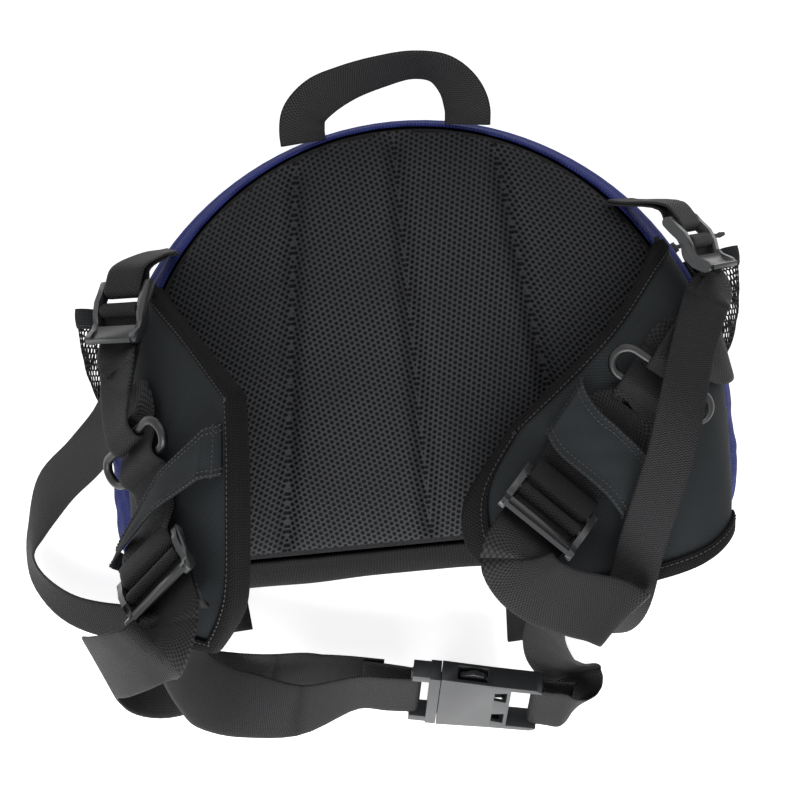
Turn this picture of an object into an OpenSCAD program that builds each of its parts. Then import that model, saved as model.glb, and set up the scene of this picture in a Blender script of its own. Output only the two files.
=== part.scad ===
// Padded waist pack, laid on its front pocket with the mesh back up and the belt buckled.
// Millimetres. Z is up from the floor, Y runs towards the grab handle, X to the right of the back panel.
// The origin is the centre of the back panel's arch, on the floor.

/* [Bag] */
// Radius of the arched back panel at its seam
panel_r = 157; // [145:1:170]
// Reach of the back panel below its arch centre
panel_drop = 75; // [65:1:90]
// Radius of the back panel's lower corners
panel_corner = 35; // [25:1:45]
// Height of the back seam above the floor
seam_z = 100; // [94:1:112]
// How far the gusset swells beyond the back panel
bulge = 17; // [10:1:22]
// Height of the gusset's widest line above the floor
wide_z = 74; // [70:1:78]
// How far the centre of the swelling lies below the arch centre
bulge_shift = 12; // [6:1:18]
// How far the bottom panel swells below the back panel
bottom_bulge = 15; // [8:1:22]
// Wall of the woven panels
wall = 2; // [1.4:0.1:3]
// How far the front panel is smaller than the back panel
front_inset = 12; // [6:1:20]
// Depth of the front panel's dish
front_dish = 7; // [4:1:12]

/* [Front pocket] */
// Depth of the front pocket
pocket_depth = 15; // [12:1:22]
// How far the front pocket is smaller than the front panel
pocket_inset = 27; // [22:1:40]
// Reach of the front pocket below its arch centre
pocket_drop = 58; // [50:1:64]
// Setback of the front pocket's soft lower edge
pocket_edge = 2.5; // [1.5:0.5:4]

/* [Back pad] */
// Height of the mesh pad's crown above the seam
crown = 18; // [12:1:24]
// Thickness of the foam under the mesh
foam_t = 8; // [5:0.5:12]
// Thickness of the frame sheet behind the foam
sheet_t = 1.5; // [1:0.1:2.5]
// Width of the sewn channels in the mesh pad
channel_w = 12; // [8:1:18]
// Depth of the sewn channels
channel_depth = 7; // [4:0.5:10]
// Distance of the outer channels from the middle, at the top
channel_top = 52; // [40:1:65]
// Distance of the outer channels from the middle, at the bottom
channel_foot = 80; // [60:1:95]

/* [Zips] */
// Height of the main zip above the floor
zip_z = 50; // [47:1:54]
// How far the main zip is tucked in below the gusset's widest line
zip_tuck = 5; // [3:0.5:7]
// Width of the zip tapes
tape_w = 16; // [12:1:20]
// Thickness of the zip tapes
tape_t = 0.8; // [0.6:0.1:1.2]
// Width of the zip chains
chain_w = 5; // [4:0.5:7]
// Height of the zip chains above their tapes
chain_t = 1.6; // [1.2:0.1:2.5]
// Angle from the X axis at which each zip starts
zip_start = 28; // [24:1:40]
// Length of the zip pulls
pull_l = 30; // [22:1:32]

/* [Side pockets] */
// Height of the pockets' middle lines above the floor
net_z = 67; // [65:0.5:68]
// Height of the pocket mouths along the pack
net_top = 58; // [50:1:66]
// Length of the net from its hem to its foot
net_len = 42; // [30:1:50]
// Half width of the pockets across the gusset
net_half = 27; // [20:1:30]
// How far the pocket mouths stand out
net_bulge = 24; // [16:1:28]
// Width of the elastic hems
hem_w = 11; // [8:1:15]
// Width of the net's strands
strand = 1.6; // [1.2:0.1:2.2]

/* [Webbing] */
// Width of the belt webbing
belt_w = 38; // [34:1:40]
// Width of the handle and stabiliser webbing
strap_w = 25; // [22:1:26]
// Thickness of the webbing
web_t = 1.6; // [1.2:0.1:2]

/* [Hip wings] */
// Thickness of the padded wings
wing_t = 8; // [6:0.5:11]
// Thickness of the wings where they are sewn in
wing_root_t = 3.2; // [2.9:0.1:4.5]
// Thickness of the wings' outer cloth and lining
cloth_t = 1; // [0.8:0.1:1.2]
// Reach of the edge binding over the wings' faces
binding_w = 8; // [5:1:12]
// Thickness of the edge binding
binding_t = 1; // [0.8:0.1:1.5]

/* [Hardware] */
// Thickness of the ladder locks' side arms
arm_t = 3.6; // [3:0.2:5]
// Radius of the ladder locks' bars
bar_r = 2.3; // [1.8:0.1:2.5]
// Radius of the strap rings' round section
ring_r = 2.5; // [2:0.1:3]
// Length of the buckle's female half
female_l = 58; // [52:1:66]
// Width of the buckle at its mouth
buckle_w = 52; // [50:1:58]
// Thickness of the buckle
buckle_t = 13; // [12:0.5:15]

/* [Hidden] */
$fn = 48;

// Running clearance between pieces that move, and seam gap between pieces that are sewn
clear = 0.4;
gap = 0.25;

// Arch radius, drop and seam height that the wings' and straps' pattern points are drawn for
pattern_size = [157, 75, 100];

// Colours
blue = [0.16, 0.20, 0.50];
charcoal = [0.20, 0.23, 0.24];
black = [0.12, 0.12, 0.13];
webbing = [0.16, 0.16, 0.17];
plastic = [0.10, 0.10, 0.11];

// Vectors and curves

function unit(v) = v / norm(v);
function mix(a, b, t) = a + (b - a) * t;
function smooth(t) = let (c = min(max(t, 0), 1)) c * c * (3 - 2 * c);
function xyz(p) = [p[0], p[1], p[2]];
function flat(lists) = [for (one = lists) each one];

// A pattern point moved with the bag's size, as a pattern is graded
function grade(p) = [
    p[0] * panel_r / pattern_size[0],
    p[1] * (p[1] < 0 ? panel_drop / pattern_size[1] : panel_r / pattern_size[0]),
    p[2] * seam_z / pattern_size[2]
];

// Knot-spaced Catmull-Rom curve through p1 and p2, so close points and far points can follow each other
function knot(a, b) = max(sqrt(norm(xyz(b) - xyz(a))), 0.01);
function blend(a, b, ta, tb, t) = a * ((tb - t) / (tb - ta)) + b * ((t - ta) / (tb - ta));
function curve(p0, p1, p2, p3, f) =
    let (
        t1 = knot(p0, p1),
        t2 = t1 + knot(p1, p2),
        t3 = t2 + knot(p2, p3),
        t = mix(t1, t2, f),
        a1 = blend(p0, p1, 0, t1, t),
        a2 = blend(p1, p2, t1, t2, t),
        a3 = blend(p2, p3, t2, t3, t),
        b1 = blend(a1, a2, 0, t2, t),
        b2 = blend(a2, a3, t1, t3, t)
    ) blend(b1, b2, t1, t2, t);
function before(pts, k) = k > 0 ? pts[k - 1] : 2 * pts[0] - pts[1];
function after(pts, k) = let (n = len(pts) - 1) k + 2 <= n ? pts[k + 2] : 2 * pts[n] - pts[n - 1];
function along(pts, t) =
    let (n = len(pts) - 1, k = min(floor(t * n), n - 1))
    curve(before(pts, k), pts[k], pts[k + 1], after(pts, k), t * n - k);
function fair(pts, steps) = [
    for (k = [0:len(pts) - 2]) for (s = [0:steps - 1])
        curve(before(pts, k), pts[k], pts[k + 1], after(pts, k), s / steps),
    pts[len(pts) - 1]
];

// Frames: an origin and three axes, from the Y axis and a hint for Z
function frame(o, y, up) =
    let (v = unit(y), u = unit(cross(v, up)))
    [o, u, v, cross(u, v)];
function place(f, p) = f[0] + f[1] * p[0] + f[2] * p[1] + f[3] * p[2];
module at(f) {
    multmatrix([
        [f[1][0], f[2][0], f[3][0], f[0][0]],
        [f[1][1], f[2][1], f[3][1], f[0][1]],
        [f[1][2], f[2][2], f[3][2], f[0][2]],
        [0, 0, 0, 1]
    ]) children();
}

// Closed skin between an outer and an inner grid of points
function quad(a, b, c, d) = [[a, b, c], [a, c, d]];
module slab(outer, inner, flip = false) {
    n = len(outer);
    m = len(outer[0]);
    far = n * m;
    function id(i, j) = i * m + j;
    skin = [for (i = [0:n - 2]) for (j = [0:m - 2]) each concat(
        quad(id(i, j), id(i, j + 1), id(i + 1, j + 1), id(i + 1, j)),
        quad(far + id(i, j), far + id(i + 1, j), far + id(i + 1, j + 1), far + id(i, j + 1)))];
    ends = [for (j = [0:m - 2]) each concat(
        quad(id(0, j), far + id(0, j), far + id(0, j + 1), id(0, j + 1)),
        quad(id(n - 1, j), id(n - 1, j + 1), far + id(n - 1, j + 1), far + id(n - 1, j)))];
    sides = [for (i = [0:n - 2]) each concat(
        quad(id(i, 0), id(i + 1, 0), far + id(i + 1, 0), far + id(i, 0)),
        quad(id(i, m - 1), far + id(i, m - 1), far + id(i + 1, m - 1), id(i + 1, m - 1)))];
    faces = concat(skin, ends, sides);
    polyhedron(concat(flat(outer), flat(inner)), flip ? [for (f = faces) [f[2], f[1], f[0]]] : faces);
}

// Solid swept through rings of points; caps are quads of the section, or a fan round its middle
function middle(ring) = [for (k = [0:2]) [for (p = ring) p[k]] * [for (p = ring) 1] / len(ring)];
module loft(rings, caps = []) {
    n = len(rings);
    m = len(rings[0]);
    last = (n - 1) * m;
    hub = n * m;
    // The far half of a ring is split the other way, so a twisted flat section keeps its thickness
    walls = [for (i = [0:n - 2]) for (j = [0:m - 1])
        let (k = (j + 1) % m, a = i * m + j, b = a + m, c = (i + 1) * m + k, d = i * m + k)
        each j < m / 2 ? quad(a, b, c, d) : quad(b, c, d, a)];
    ends = len(caps) > 0
        ? [for (c = caps) each concat(quad(c[0], c[1], c[2], c[3]),
            quad(last + c[3], last + c[2], last + c[1], last + c[0]))]
        : [for (j = [0:m - 1]) let (k = (j + 1) % m) each [[j, k, hub], [last + k, last + j, hub + 1]]];
    hubs = len(caps) > 0 ? [] : [middle(rings[0]), middle(rings[n - 1])];
    polyhedron(concat(flat(rings), hubs), concat(walls, ends));
}

// Flat webbing along points that each carry a place and a width direction
module ribbon(route, w, t = web_t) {
    n = len(route);
    rings = [for (i = [0:n - 1])
        let (
            p = xyz(route[i]),
            go = unit(xyz(route[min(i + 1, n - 1)]) - xyz(route[max(i - 1, 0)])),
            face = unit(cross(go, [route[i][3], route[i][4], route[i][5]])),
            side = cross(face, go) * w / 2,
            lift = face * t / 2
        ) [p + side + lift, p - side + lift, p - side - lift, p + side - lift]];
    loft(rings, [[0, 1, 2, 3]]);
}
function step(p, w) = concat(p, w);
function graded(x, y, z, w) = step(grade([x, y, z]), w);

// Bag outlines: an arch with a straight foot and round lower corners
// A level is [height, arch radius, arch centre, foot, corner radius]; t runs 0 to 7 round the outline

function half_outline(lv, t) =
    t < 1 ? [t * (lv[1] - lv[4]), lv[3]] :
    t < 2 ? [lv[1] - lv[4] * (1 - sin(90 * (t - 1))), lv[3] + lv[4] * (1 - cos(90 * (t - 1)))] :
    t < 3 ? [lv[1], mix(lv[3] + lv[4], lv[2], t - 2)] :
    [lv[1] * cos(180 * (t - 3)), lv[2] + lv[1] * sin(180 * (t - 3))];
function outline(lv, t) =
    let (s = (t + 7) % 7, p = half_outline(lv, s <= 3.5 ? s : 7 - s))
    [s <= 3.5 ? p[0] : -p[0], p[1], lv[0]];
// Steps round the whole outline, finer on the arch
round_steps = [
    for (k = [0:5]) k / 6, for (k = [0:5]) 1 + k / 6, for (k = [0:3]) 2 + k / 4,
    for (k = [0:41]) 3 + k / 42,
    for (k = [0:3]) 4 + k / 4, for (k = [0:5]) 5 + k / 6, for (k = [0:5]) 6 + k / 6
];
function ring_at(lv) = [for (t = round_steps) outline(lv, t)];

front_z = pocket_depth + front_dish;
bulge_r = panel_r + bulge;
zip_r = bulge_r - zip_tuck;
zip_low = zip_z - tape_w / 2 - 1;
zip_high = zip_z + tape_w / 2 + 1;
back_level = [seam_z, panel_r, 0, -panel_drop, panel_corner];
wide_level = [wide_z, bulge_r, -bulge_shift, -panel_drop - bottom_bulge, panel_corner + 8];
front_level = [front_z, panel_r - front_inset, -bulge_shift / 2, -panel_drop + front_inset, panel_corner];
function inset(lv, d) = [lv[0], lv[1] - d, lv[2], lv[3] + d, max(lv[4] - d, 1)];
function level_at(z, a, b, share) = let (lv = mix(a, b, share)) [z, lv[1], lv[2], lv[3], lv[4]];
zip_level = inset(wide_level, zip_tuck);
gusset_levels = [
    front_level,
    level_at(mix(front_z, zip_low, 0.5), front_level, zip_level, 0.65),
    level_at(zip_low, front_level, zip_level, 1),
    level_at(zip_high, zip_level, wide_level, 0),
    wide_level,
    level_at(mix(wide_z, seam_z, 0.45), wide_level, back_level, 0.25),
    level_at(mix(wide_z, seam_z, 0.78), wide_level, back_level, 0.6),
    back_level
];
// Half width of the bag at a place on its side
function side_x(y, z) =
    let (
        r = lookup(z, [for (lv = gusset_levels) [lv[0], lv[1]]]),
        c = lookup(z, [for (lv = gusset_levels) [lv[0], lv[2]]])
    ) y > c ? sqrt(r * r - (y - c) * (y - c)) : r;

module band(steps) {
    slab([for (t = steps) [for (lv = gusset_levels) outline(lv, t)]],
        [for (t = steps) [for (lv = gusset_levels) outline(inset(lv, wall), t)]]);
}
corner_split = 1.4;
module gusset() {
    color(blue) band([for (k = [0:3]) mix(corner_split, 2, k / 3), for (k = [1:3]) 2 + k / 4,
        for (k = [0:42]) 3 + k / 42,
        for (k = [1:4]) 4 + k / 4, for (k = [1:3]) mix(5, 7 - corner_split, k / 3)]);
}
module bottom_panel() {
    end = corner_split - 0.01;
    color(black) band([for (k = [-14:14]) k / 14 * end]);
}
module front_panel() {
    base = inset(front_level, 22);
    rim = front_z - gap;
    outer = [
        level_at(pocket_depth, base, base, 0),
        level_at(mix(pocket_depth, rim, 0.35), base, front_level, 0.6),
        level_at(rim, front_level, front_level, 0)
    ];
    color(blue) difference() {
        loft([for (lv = outer) ring_at(lv)]);
        translate([0, 0, wall]) loft([for (lv = outer) ring_at(inset(lv, wall))]);
    }
}

// Flat arch outline with true arcs
module arch(r, drop, corner) {
    intersection() {
        circle(r, $fn = 160);
        translate([-r, 0]) square([2 * r, r]);
    }
    translate([-r, corner - drop]) square([2 * r, drop - corner]);
    translate([corner - r, -drop]) square([2 * (r - corner), corner]);
    for (s = [-1, 1]) translate([s * (r - corner), corner - drop]) circle(corner);
}
pocket_corner = 30;
pocket_r = panel_r - front_inset - pocket_inset;
module pocket_arch(d) {
    translate([0, -bulge_shift / 2]) arch(pocket_r - d, pocket_drop - d, pocket_corner - d);
}
module front_pocket() {
    top = pocket_depth - gap;
    color(blue) difference() {
        union() {
            linear_extrude(pocket_edge) pocket_arch(pocket_edge);
            translate([0, 0, pocket_edge]) linear_extrude(top - pocket_edge) pocket_arch(0);
        }
        translate([0, 0, wall]) linear_extrude(pocket_depth) pocket_arch(pocket_edge + wall);
    }
}

// Back pad

module back_mesh() {
    z0 = seam_z + gap;
    crown_steps = [[0, 0.5], [0.12, 1.5], [0.34, 8], [0.6, 20], [0.85, 41], [1, 68]];
    color(black) difference() {
        loft([for (c = crown_steps)
            let (lv = inset(back_level, c[1])) ring_at([z0 + c[0] * crown, lv[1], lv[2], lv[3], lv[4]])]);
        for (s = [-1, 0, 1]) channel([s * channel_foot, -panel_drop], [s * channel_top, panel_r]);
    }
}
module channel(foot, head) {
    run = head - foot;
    translate([foot[0], foot[1], seam_z + gap + crown]) rotate([0, 0, atan2(run[1], run[0])])
        rotate([90, 0, 90])
        linear_extrude(norm(run))
            polygon([[-channel_w / 2, 1], [-channel_w / 4, -channel_depth * 0.6], [0, -channel_depth],
                [channel_w / 4, -channel_depth * 0.6], [channel_w / 2, 1]]);
}
pad_inset = wall + 1;
module back_foam() {
    color(charcoal) translate([0, 0, seam_z - foam_t]) linear_extrude(foam_t)
        arch(panel_r - pad_inset, panel_drop - pad_inset, panel_corner - pad_inset);
}
module frame_sheet() {
    color("gray") translate([0, 0, seam_z - foam_t - gap - sheet_t]) linear_extrude(sheet_t)
        arch(panel_r - pad_inset, panel_drop - pad_inset, panel_corner - pad_inset);
}

// Zips: a tape and a chain round the wall, a slider on the chain, a pull hinged on the slider

zip_sweep = 180 - 2 * zip_start;
slider_l = 12;
pull_pin_r = 1;
pull_w = 6;
pull_t = 2.4;
// Slider shell thickness outside the chain, and where the pull's pin lies outside the shell
shell_t = 1.3;
pin_out = 2.6;

module zip(r, centre, z, tape) {
    translate([0, centre, z]) rotate([0, 0, zip_start]) rotate_extrude(angle = zip_sweep, $fn = 160) {
        translate([r + gap, -tape / 2]) square([tape_t, tape]);
        translate([r + gap + tape_t, -chain_w / 2]) square([chain_t, chain_w]);
    }
}
// Distance of the slider's shell and pin from the zip's axis
function shell_in(r) = r + gap + tape_t + chain_t + clear;
function pin_at(r) = shell_in(r) + shell_t + pin_out;
function slider_angle(r) = zip_start + asin(slider_l / 2 / r) + 0.5;
module slider(r, centre, z) {
    shell = shell_in(r);
    lip = r + gap + tape_t + clear;
    side_w = 1.6;
    half = chain_w / 2 + clear;
    ear = 1.4;
    translate([0, centre, z]) rotate([0, 0, slider_angle(r)]) {
        translate([shell, -slider_l / 2, -half - side_w]) cube([shell_t, slider_l, 2 * (half + side_w)]);
        for (s = [-1, 1]) translate([lip, -slider_l / 2, s > 0 ? half : -half - side_w])
            cube([shell - lip, slider_l, side_w]);
        for (s = [-1, 1]) translate([shell + shell_t, -slider_l / 4,
            s > 0 ? pull_w / 2 + clear : -pull_w / 2 - clear - ear])
            cube([pin_out + pull_pin_r + 0.6, slider_l / 2, ear]);
        translate([pin_at(r), 0, -pull_w / 2 - clear - 0.1])
            cylinder(r = pull_pin_r, h = pull_w + 2 * clear + 0.2);
    }
}
module pull(r, centre, z, lean) {
    eye = pull_pin_r + clear;
    translate([0, centre, z]) rotate([0, 0, slider_angle(r)]) translate([pin_at(r), 0, -pull_w / 2])
        rotate([0, 0, lean]) linear_extrude(pull_w) difference() {
            union() {
                circle(eye + 0.9);
                translate([0, -pull_t / 2]) square([pull_l - pull_t / 2, pull_t]);
                translate([pull_l - pull_t / 2, 0]) circle(pull_t / 2);
                for (k = [0:5]) translate([pull_l * (0.35 + 0.11 * k), 0]) circle(pull_t / 2 + 0.4);
            }
            circle(eye);
        }
}
// How far the pulls lean from straight out at rest
main_lean = -20;
pocket_lean = 62;
module main_zip() { color(black) zip(zip_r, -bulge_shift, zip_z, tape_w); }
module main_slider() { color(plastic) slider(zip_r, -bulge_shift, zip_z); }
module main_pull() { color(black) pull(zip_r, -bulge_shift, zip_z, main_lean); }
pocket_zip_z = (pocket_depth + pocket_edge) / 2;
pocket_tape = pocket_depth - pocket_edge - 2;
module pocket_zip() { color(black) zip(pocket_r, -bulge_shift / 2, pocket_zip_z, pocket_tape); }
module pocket_slider() { color(plastic) slider(pocket_r, -bulge_shift / 2, pocket_zip_z); }
module pocket_pull() { color(black) pull(pocket_r, -bulge_shift / 2, pocket_zip_z, pocket_lean); }

// Side pockets: a net that swells away from the gusset, and an elastic hem round its mouth

net_rows = 6;
net_cols = 8;
net_t = 1;
function net_point(side, a, b, lift) =
    let (
        y = net_top - net_len * (1 - b),
        z = net_z + net_half * sin(a),
        out = net_bulge * pow(b, 0.8) * cos(a)
    ) [side * (side_x(y, z) + 5 * gap + out + lift), y + 6 * b * cos(a), z];
function net_angle(k) = mix(-84, 84, k / net_cols);
module side_net(side) {
    function node_at(i, j, lift) = net_point(side, net_angle(j), i / net_rows, lift);
    // Corners of one mesh opening, drawn in from the strands' middle lines
    function cell(i, j, lift) =
        let (
            q = [node_at(i, j, lift), node_at(i, j + 1, lift),
                node_at(i + 1, j + 1, lift), node_at(i + 1, j, lift)],
            c = (q[0] + q[1] + q[2] + q[3]) / 4
        ) [for (p = q) p + unit(c - p) * min(strand * 0.7, norm(c - p) * 0.6)];
    m = net_cols + 1;
    count = (net_rows + 1) * m;
    holes = [for (i = [0:net_rows - 1]) for (j = [0:net_cols - 1]) [i, j]];
    base = 2 * count;
    points = concat(
        [for (i = [0:net_rows]) for (j = [0:net_cols]) node_at(i, j, net_t)],
        [for (i = [0:net_rows]) for (j = [0:net_cols]) node_at(i, j, 0)],
        flat([for (h = holes) concat(cell(h[0], h[1], net_t), cell(h[0], h[1], 0))])
    );
    mesh = [for (k = [0:len(holes) - 1])
        let (
            i = holes[k][0],
            j = holes[k][1],
            g = [i * m + j, i * m + j + 1, (i + 1) * m + j + 1, (i + 1) * m + j],
            o = base + 8 * k
        ) for (e = [0:3]) let (f = (e + 1) % 4) each concat(
            quad(g[e], g[f], o + f, o + e),
            quad(count + g[f], count + g[e], o + 4 + e, o + 4 + f),
            quad(o + e, o + f, o + 4 + f, o + 4 + e))];
    rim = concat(
        [for (j = [0:net_cols - 1]) each concat(
            quad(j + 1, j, count + j, count + j + 1),
            quad(net_rows * m + j, net_rows * m + j + 1,
                count + net_rows * m + j + 1, count + net_rows * m + j))],
        [for (i = [0:net_rows - 1]) each concat(
            quad(i * m, (i + 1) * m, count + (i + 1) * m, count + i * m),
            quad((i + 1) * m + m - 1, i * m + m - 1, count + i * m + m - 1, count + (i + 1) * m + m - 1))]);
    faces = concat(mesh, rim);
    color(black) polyhedron(points, side < 0 ? [for (f = faces) [f[2], f[1], f[0]]] : faces);
}
module side_rim(side) {
    steps = 14;
    function rim_point(k, b, lift) =
        let (a = mix(-84, 84, k / steps), p = net_point(side, a, 1, lift))
        [p[0], p[1] + gap + b * hem_w, p[2]];
    color(charcoal) slab(
        [for (k = [0:steps]) [for (b = [0, 1]) rim_point(k, b, net_t + 0.4)]],
        [for (k = [0:steps]) [for (b = [0, 1]) rim_point(k, b, 0)]],
        side > 0);
}
module side_net_left() { side_net(-1); }
module side_net_right() { side_net(1); }
module side_rim_left() { side_rim(-1); }
module side_rim_right() { side_rim(1); }

// Grab handle, sewn into the back seam at both ends

handle_route = [
    graded(-49, 151.5, 101.6, [1, 0.3, 0]),
    graded(-49, 158, 105, [1, 0.25, 0]),
    graded(-47, 165, 109, [0.8, -0.4, -0.35]),
    graded(-38, 173, 113, [0.35, -0.75, -0.55]),
    graded(-20, 181, 117, [0.22, -0.62, -0.75]),
    graded(5, 186, 119, [0, -0.5, -0.87]),
    graded(25, 182, 117, [-0.35, -0.45, -0.8]),
    graded(37, 172, 112, [-0.75, -0.3, -0.55]),
    graded(41, 161, 106.5, [-1, 0.1, -0.1]),
    graded(41, 153, 102, [-1, 0.27, 0])
];
module grab_handle() { color(webbing) ribbon(fair(handle_route, 3), strap_w); }

// Hip wings: rows of pattern points from the seam to the tip, each from the upper edge to the lower

wing_left_rows = [
    [[-139, 83, 102], [-156.5, 41.5, 102], [-163, -18, 102], [-156, -68, 102]],
    [[-137, 78, 114], [-152, 28, 122], [-157, -30, 128], [-165, -82, 124]],
    [[-117, 50, 148], [-130, 0, 160], [-135, -50, 163], [-150, -104, 150]],
    [[-92, 12, 190], [-98, -36, 195], [-104, -87, 190], [-112, -116, 174]]
];
wing_right_rows = [
    [[139, 83, 102], [156.5, 41.5, 102], [163, -18, 102], [156, -68, 102]],
    [[139, 78, 112], [160, 34, 117], [165, -20, 119], [162, -78, 116]],
    [[130, 66, 128], [146, 24, 137], [148, -30, 139], [146, -93, 132]],
    [[104, 34, 141], [100, -12, 147], [100, -50, 146], [98, -103, 136]],
    [[29, -29, 143], [19, -52, 142], [19, -76, 139], [33, -103, 133]]
];
tip_round = 0.06;
function wing_rows(side) = side < 0 ? wing_left_rows : wing_right_rows;
function wing_at(side, a, b) =
    let (rows = [for (row = wing_rows(side)) along([for (p = row) grade(p)], b)])
    along(rows, a * (1 - tip_round * pow(abs(2 * b - 1), 3)));
function wing_out(side, a, b) =
    let (h = 0.01, a0 = max(a - h, 0), a1 = min(a + h, 1), b0 = max(b - h, 0), b1 = min(b + h, 1))
    side * unit(cross(wing_at(side, a1, b) - wing_at(side, a0, b),
        wing_at(side, a, b1) - wing_at(side, a, b0)));
function wing_skin(side, a, b, lift) = wing_at(side, a, b) + wing_out(side, a, b) * lift;
function wing_depth(a) = mix(wing_root_t, wing_t, smooth(a / 0.4));
wing_steps = 14;
wing_bands = 10;
// One layer of a wing between two depths below its face; share 0 counts from the face, 1 from the lining
module wing_layer(side, top, bottom) {
    function sheet(d) = [for (i = [0:wing_steps]) [for (j = [0:wing_bands])
        let (a = i / wing_steps)
        wing_skin(side, a, j / wing_bands, -d[0] - d[1] * wing_depth(a))]];
    slab(sheet(top), sheet(bottom), side < 0);
}
module wing_outer(side) { color(charcoal) wing_layer(side, [0, 0], [cloth_t, 0]); }
module wing_foam(side) { color("dimgray") wing_layer(side, [cloth_t + gap, 0], [-cloth_t - gap, 1]); }
module wing_lining(side) { color(black) wing_layer(side, [-cloth_t, 1], [0, 1]); }
module wing_outer_left() { wing_outer(-1); }
module wing_outer_right() { wing_outer(1); }
module wing_foam_left() { wing_foam(-1); }
module wing_foam_right() { wing_foam(1); }
module wing_lining_left() { wing_lining(-1); }
module wing_lining_right() { wing_lining(1); }

// Edge binding: a channel section round the three free edges of a wing, its flanges following both faces
// An edge stop is [along, across] and the direction in which the flanges reach over the wing
edge_start = 3;
binding_seat = 0.8;
wing_edge = concat(
    [for (k = [edge_start:wing_steps - 1]) [k / wing_steps, 0, 0, 1]], [[1, 0, -1, 1]],
    [for (k = [1:wing_bands - 1]) [1, k / wing_bands, -1, 0]], [[1, 1, -1, -1]],
    [for (k = [wing_steps - 1:-1:edge_start]) [k / wing_steps, 1, 0, -1]]
);
module wing_binding(side) {
    n = len(wing_edge);
    reach_a = binding_w / norm(wing_at(side, 1, 0.5) - wing_at(side, 0, 0.5));
    function edge_place(k) = wing_at(side, wing_edge[k][0], wing_edge[k][1]);
    rings = [for (k = [0:n - 1])
        let (
            a = wing_edge[k][0],
            b = wing_edge[k][1],
            p = edge_place(k),
            go = unit(edge_place(min(k + 1, n - 1)) - edge_place(max(k - 1, 0))),
            out = wing_out(side, a, b),
            away = unit(cross(go, out)) * side,
            d = wing_depth(a),
            seat = binding_seat,
            face = seat + binding_t,
            a_in = a + wing_edge[k][2] * reach_a,
            b_in = b + wing_edge[k][3] * binding_w / norm(wing_at(side, a, 1) - wing_at(side, a, 0)),
            d_in = wing_depth(a_in)
        ) [
            wing_skin(side, a_in, b_in, seat),
            p + (away + out) * seat,
            p + away * seat - out * (d + seat),
            wing_skin(side, a_in, b_in, -d_in - seat),
            wing_skin(side, a_in, b_in, -d_in - face),
            p + away * face - out * (d + face),
            p + (away + out) * face,
            wing_skin(side, a_in, b_in, face)
        ]];
    caps = [[0, 1, 6, 7], [1, 2, 5, 6], [2, 3, 4, 5]];
    color(black) loft(side < 0 ? rings : [for (k = [n - 1:-1:0]) rings[k]], caps);
}
module wing_binding_left() { wing_binding(-1); }
module wing_binding_right() { wing_binding(1); }

// Tunnel: a hemmed panel sewn over the load webbing, over a part of the wing and rising to the belt lock
tunnel_lift = [8, 12];
function tunnel_corners(side) = side < 0
    ? [[0.93, 0.13], [0.34, 0.885], [0.93, 0.30], [0.37, 0.93]]
    : [[0.84, 0.08], [0.66, 0.65], [0.88, 0.20], [0.75, 0.78]];
function tunnel_place(side, s, t) =
    let (c = tunnel_corners(side))
    mix(mix(c[0], c[1], t), mix(c[2], c[3], t), s);
module wing_tunnel(side) {
    rows = 5;
    cols = 10;
    function sheet(d) = [for (i = [0:rows]) [for (j = [0:cols])
        let (
            t = j / cols,
            q = tunnel_place(side, i / rows, t),
            rise = mix(gap, mix(tunnel_lift[0], tunnel_lift[1], i / rows), smooth(min(t, 1 - t) / 0.07))
        ) wing_skin(side, q[0], q[1], rise + d)]];
    color(charcoal) slab(sheet(cloth_t), sheet(0), side < 0);
}
module wing_tunnel_left() { wing_tunnel(-1); }
module wing_tunnel_right() { wing_tunnel(1); }

// Ladder locks: two S-shaped arms, an anchor bar, a centre bar and a flared thumb plate
// In a lock's own frame X runs along the bars, Y from the anchor to the load, Z out of its face

anchor_y = -11.5;
anchor_z = 0.5;
centre_z = 1;
lock_curve = [[-14.5, 0.3], [-10, 0.9], [-4, 2.2], [2, 1.4], [7, -0.6], [12, 0.2], [17, 3.4]];
plate_curve = [[9.5, 1.2], [13, 1.6], [17, 3.6], [20, 7]];
function side_of(pts, k) =
    let (d = unit(pts[min(k + 1, len(pts) - 1)] - pts[max(k - 1, 0)])) [-d[1], d[0]];
module strip(pts, half) {
    polygon(concat(
        [for (k = [0:len(pts) - 1]) pts[k] + side_of(pts, k) * half],
        [for (k = [len(pts) - 1:-1:0]) pts[k] - side_of(pts, k) * half]));
}
module across(w) { rotate([90, 0, 90]) translate([0, 0, -w / 2]) linear_extrude(w) children(); }
module bar(y, z, w) { translate([-w / 2, y, z]) rotate([0, 90, 0]) cylinder(r = bar_r, h = w); }
function lock_inside(w) = w + 2;
module ladder_lock(w) {
    inside = lock_inside(w);
    for (s = [-1, 1]) translate([s * (inside + arm_t) / 2, 0, 0]) across(arm_t) {
        strip(lock_curve, 3);
        translate(lock_curve[0]) circle(3);
        translate(lock_curve[len(lock_curve) - 1]) circle(3);
    }
    bar(anchor_y, anchor_z, inside + arm_t);
    bar(0, centre_z, inside + arm_t);
    across(inside + arm_t) strip(plate_curve, 1.2);
}
// Routes of webbing in a lock: over the centre bar from the load to the tail, and round the anchor bar
wrap_r = bar_r + web_t / 2 + clear;
function round_bar(y, z, r, angles) = [for (a = angles) [y + r * cos(a), z + r * sin(a)]];
load_wrap = concat(
    [[24, -5], [15, -5.6], [8, -5.8], [3.5, -5]],
    round_bar(0, centre_z, wrap_r, [255, 215, 180, 140, 100, 60, 20, -15]),
    [[5, -2], [9, -2.4], [15, -2.2], [23, -1.5]]
);
anchor_wrap = concat(
    [[-24, 2.6], [-16, 4]],
    round_bar(anchor_y, anchor_z, wrap_r, [100, 60, 20, -20, -60, -100]),
    [[-16, -2.8], [-24, -1.4]]
);
function in_lock(f, route, sign = 1) = [for (q = route) step(place(f, [0, q[0], q[1]]), f[1] * sign)];

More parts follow.
